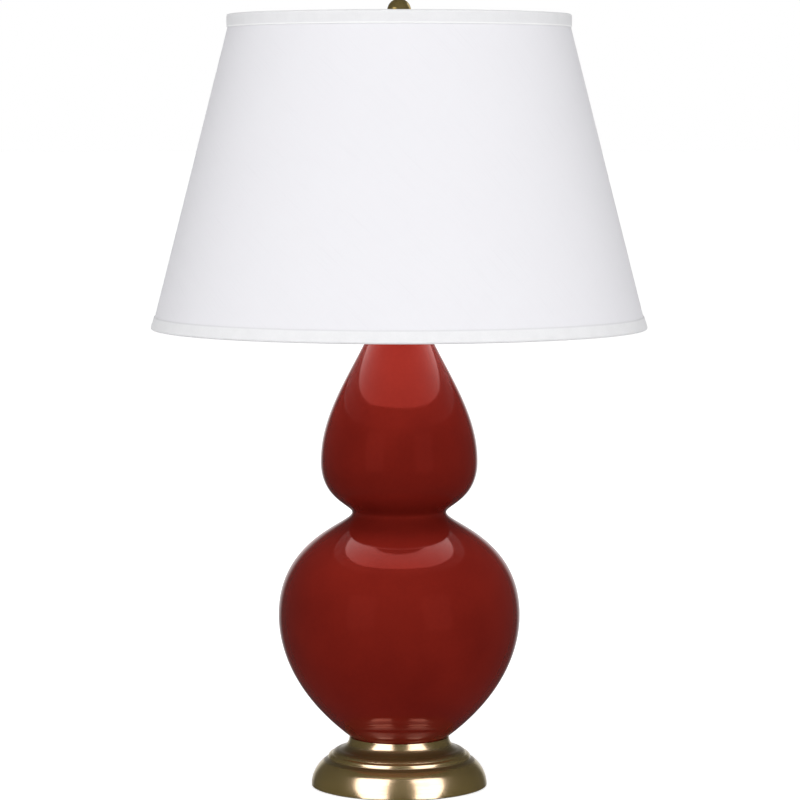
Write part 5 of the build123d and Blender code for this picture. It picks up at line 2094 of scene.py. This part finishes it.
@dataclass
class Studio:
    """Pale floor, white surroundings, soft lamps and the camera at the photograph's angle.

    Each band is (from, to, level at from, level at to). Those of the horizon and of the back's top
    run over how steep a direction is, those of the front and back over how far it points back.
    """

    camera_place: tuple[float, float, float] = (0.0008, -3.5, 0.6732)
    camera_pitch: float = 4.6415
    lens: float = 157.97
    sensor: float = 36.0
    ambient: float = 0.16
    front: float = 1.98
    front_way: tuple[float, float, float] = (0.0, -0.94, 0.34)
    horizon_band: Band = (0.0, 0.6, 0.08, 0.05)
    front_band: Band = (-1.0, -0.85, 0.3, 1.0)
    back_band: Band = (0.85, 1.0, 0.0, 1.0)
    back_top_band: Band = (0.08, 0.35, 1.0, 0.0)
    floor_tone: float = 0.8
    floor_glow: float = 0.62
    floor_size: float = 60.0
    boxes: tuple[Softbox, ...] = (
        Softbox("overhead", (0.0, -1.2, 2.6), (0.0, 0.0, 0.30), (1.6, 1.2), 0.4),
        Softbox("back_fill", (0.0, 2.4, 1.1), (0.0, 0.0, 0.40), (1.2, 1.2), 6.0),
        *Softbox("fill", (-1.9, -0.7, 0.35), (0.0, 0.0, 0.62), (1.2, 1.2), 2.3,
                 lit=CLOTH_PIECES).both_sides(),
        Softbox("rear_fill", (0.0, 2.0, 0.55), (0.0, 0.0, 0.62), (2.0, 1.2), 1.7, lit=CLOTH_PIECES),
        Softbox("low_fill", (0.0, -1.7, 0.15), (0.0, 0.0, 0.50), (1.4, 0.5), 0.5, lit=CLOTH_PIECES),
        Softbox("left_card", (-1.46, -1.80, 0.99), (-0.19, -0.06, -0.25), (1.88, 3.67), 5.2, Shows.REFLECTION,
                ("brass_base",), tint=CARD_TINT, roll=12.0),
        Softbox("right_card", (1.58, -1.74, 0.99), (0.20, -0.06, -0.25), (1.66, 3.67), 5.2, Shows.REFLECTION,
                ("brass_base",), tint=CARD_TINT, roll=-12.0),
        *Softbox("strip", (-1.35, -1.85, 0.62), (0.0, 0.0, 0.35), (1.1, 1.5), 0.35, Shows.REFLECTION,
                 ("double_gourd",)).both_sides(),
        Softbox("shade_glow", (0.0, 0.0, 0.522), (0.0, 0.0, 0.0), (0.476, 0.438), 1.9, Shows.REFLECTION,
                ("double_gourd",), "ELLIPSE", hole=0.41),
        Softbox("shade_inside", (0.0, 0.0, 0.60), (0.0, 0.0, 0.0), (0.36, 0.36), 4.3, lit=("double_gourd",),
                shape="DISK"),
        Softbox("fittings_left", (-1.6, -1.4, 1.0), (0.0, 0.0, 0.60), (1.3, 1.8), 1.1, Shows.REFLECTION,
                FITTINGS),
        Softbox("fittings_right", (1.5, 1.5, 1.2), (0.0, 0.0, 0.60), (1.3, 1.8), 1.1, Shows.REFLECTION,
                FITTINGS),
    )

    def build(self) -> None:
        """Sets the whole studio up."""
        scene = bpy.context.scene
        scene.view_settings.view_transform = "Standard"
        data = bpy.data.cameras.new("camera")
        data.lens, data.sensor_width, data.sensor_fit = self.lens, self.sensor, "AUTO"
        scene.camera = link("camera", data)
        scene.camera.location = self.camera_place
        scene.camera.rotation_euler = (math.radians(90 - self.camera_pitch), 0, 0)
        pieces = [o for o in bpy.data.objects if o.type == "MESH"]
        for box in self.boxes:
            box.hang(pieces)
        self.surround()
        self.floor()

    def surround(self) -> None:
        """White to the camera and behind the lamp, a dim room before it, and soft light all round."""
        world = bpy.data.worlds.new("surround")
        bpy.context.scene.world = world
        book = Book.of(world)
        camera = book.add("ShaderNodeLightPath", None, None, "Is Camera Ray")
        glossy = book.also(camera, "Is Glossy Ray")
        seen = book.maths("MAXIMUM", camera, book.also(camera, "Is Transmission Ray"))
        way = book.add("ShaderNodeTexCoord", None, None, "Generated")
        parts = book.add("ShaderNodeSeparateXYZ", None, {0: way})
        back, height = book.also(parts, 1), book.maths("ABSOLUTE", book.also(parts, 2))
        room = book.between(height, *self.horizon_band) * book.between(back, *self.front_band)
        behind = book.between(back, *self.back_band) * book.between(height, *self.back_top_band)
        mirrored = behind + (1 - behind) * room
        facing = book.also(book.vectors("DOT_PRODUCT", way, self.front_way), "Value")
        soft = book.maths("MAXIMUM", facing, 0.0) ** 2.0 * self.front + self.ambient
        level = seen + (1 - seen) * (glossy * mirrored + (1 - glossy) * soft)
        white = book.add("ShaderNodeBackground", None, {"Color": WHITE, "Strength": level})
        book.add("ShaderNodeOutputWorld", None, {"Surface": white})

    def floor(self) -> None:
        """A large plain pale floor that keeps the lamp's shadow."""
        shape = bmesh.new()
        bmesh.ops.create_grid(shape, x_segments=4, y_segments=4, size=self.floor_size)
        floor = cast("studio_floor", shape)
        material = bpy.data.materials.new("pale_floor")
        book = Book.of(material)
        matt = book.add("ShaderNodeBsdfDiffuse", None, {"Color": (self.floor_tone,) * 3})
        glow = book.add("ShaderNodeEmission", None, {"Color": WHITE, "Strength": self.floor_glow})
        camera = book.add("ShaderNodeLightPath", None, None, "Is Camera Ray")
        lifted = book.add("ShaderNodeAddShader", None, {0: matt, 1: glow})
        whole = book.add("ShaderNodeMixShader", None, {0: camera, 1: matt, 2: lifted})
        book.add("ShaderNodeOutputMaterial", None, {"Surface": whole})
        floor.data.materials.append(material)
        floor.visible_glossy = False


def main() -> None:
    """Builds the finishes, every sub-assembly and the studio."""
    logging.basicConfig(level=logging.INFO, format="%(name)s: %(message)s")
    shop = Workshop({finish.slot: finish.material() for finish in FINISHES})
    for kind in (Pedestal, Gourd, Neck, Harp, Socket, Bulb, Shade, Finial, Hardware):
        assembly = kind(shop)
        assembly.build()
        assembly.dress()
    Studio().build()


if __name__ == "__main__":
    main()
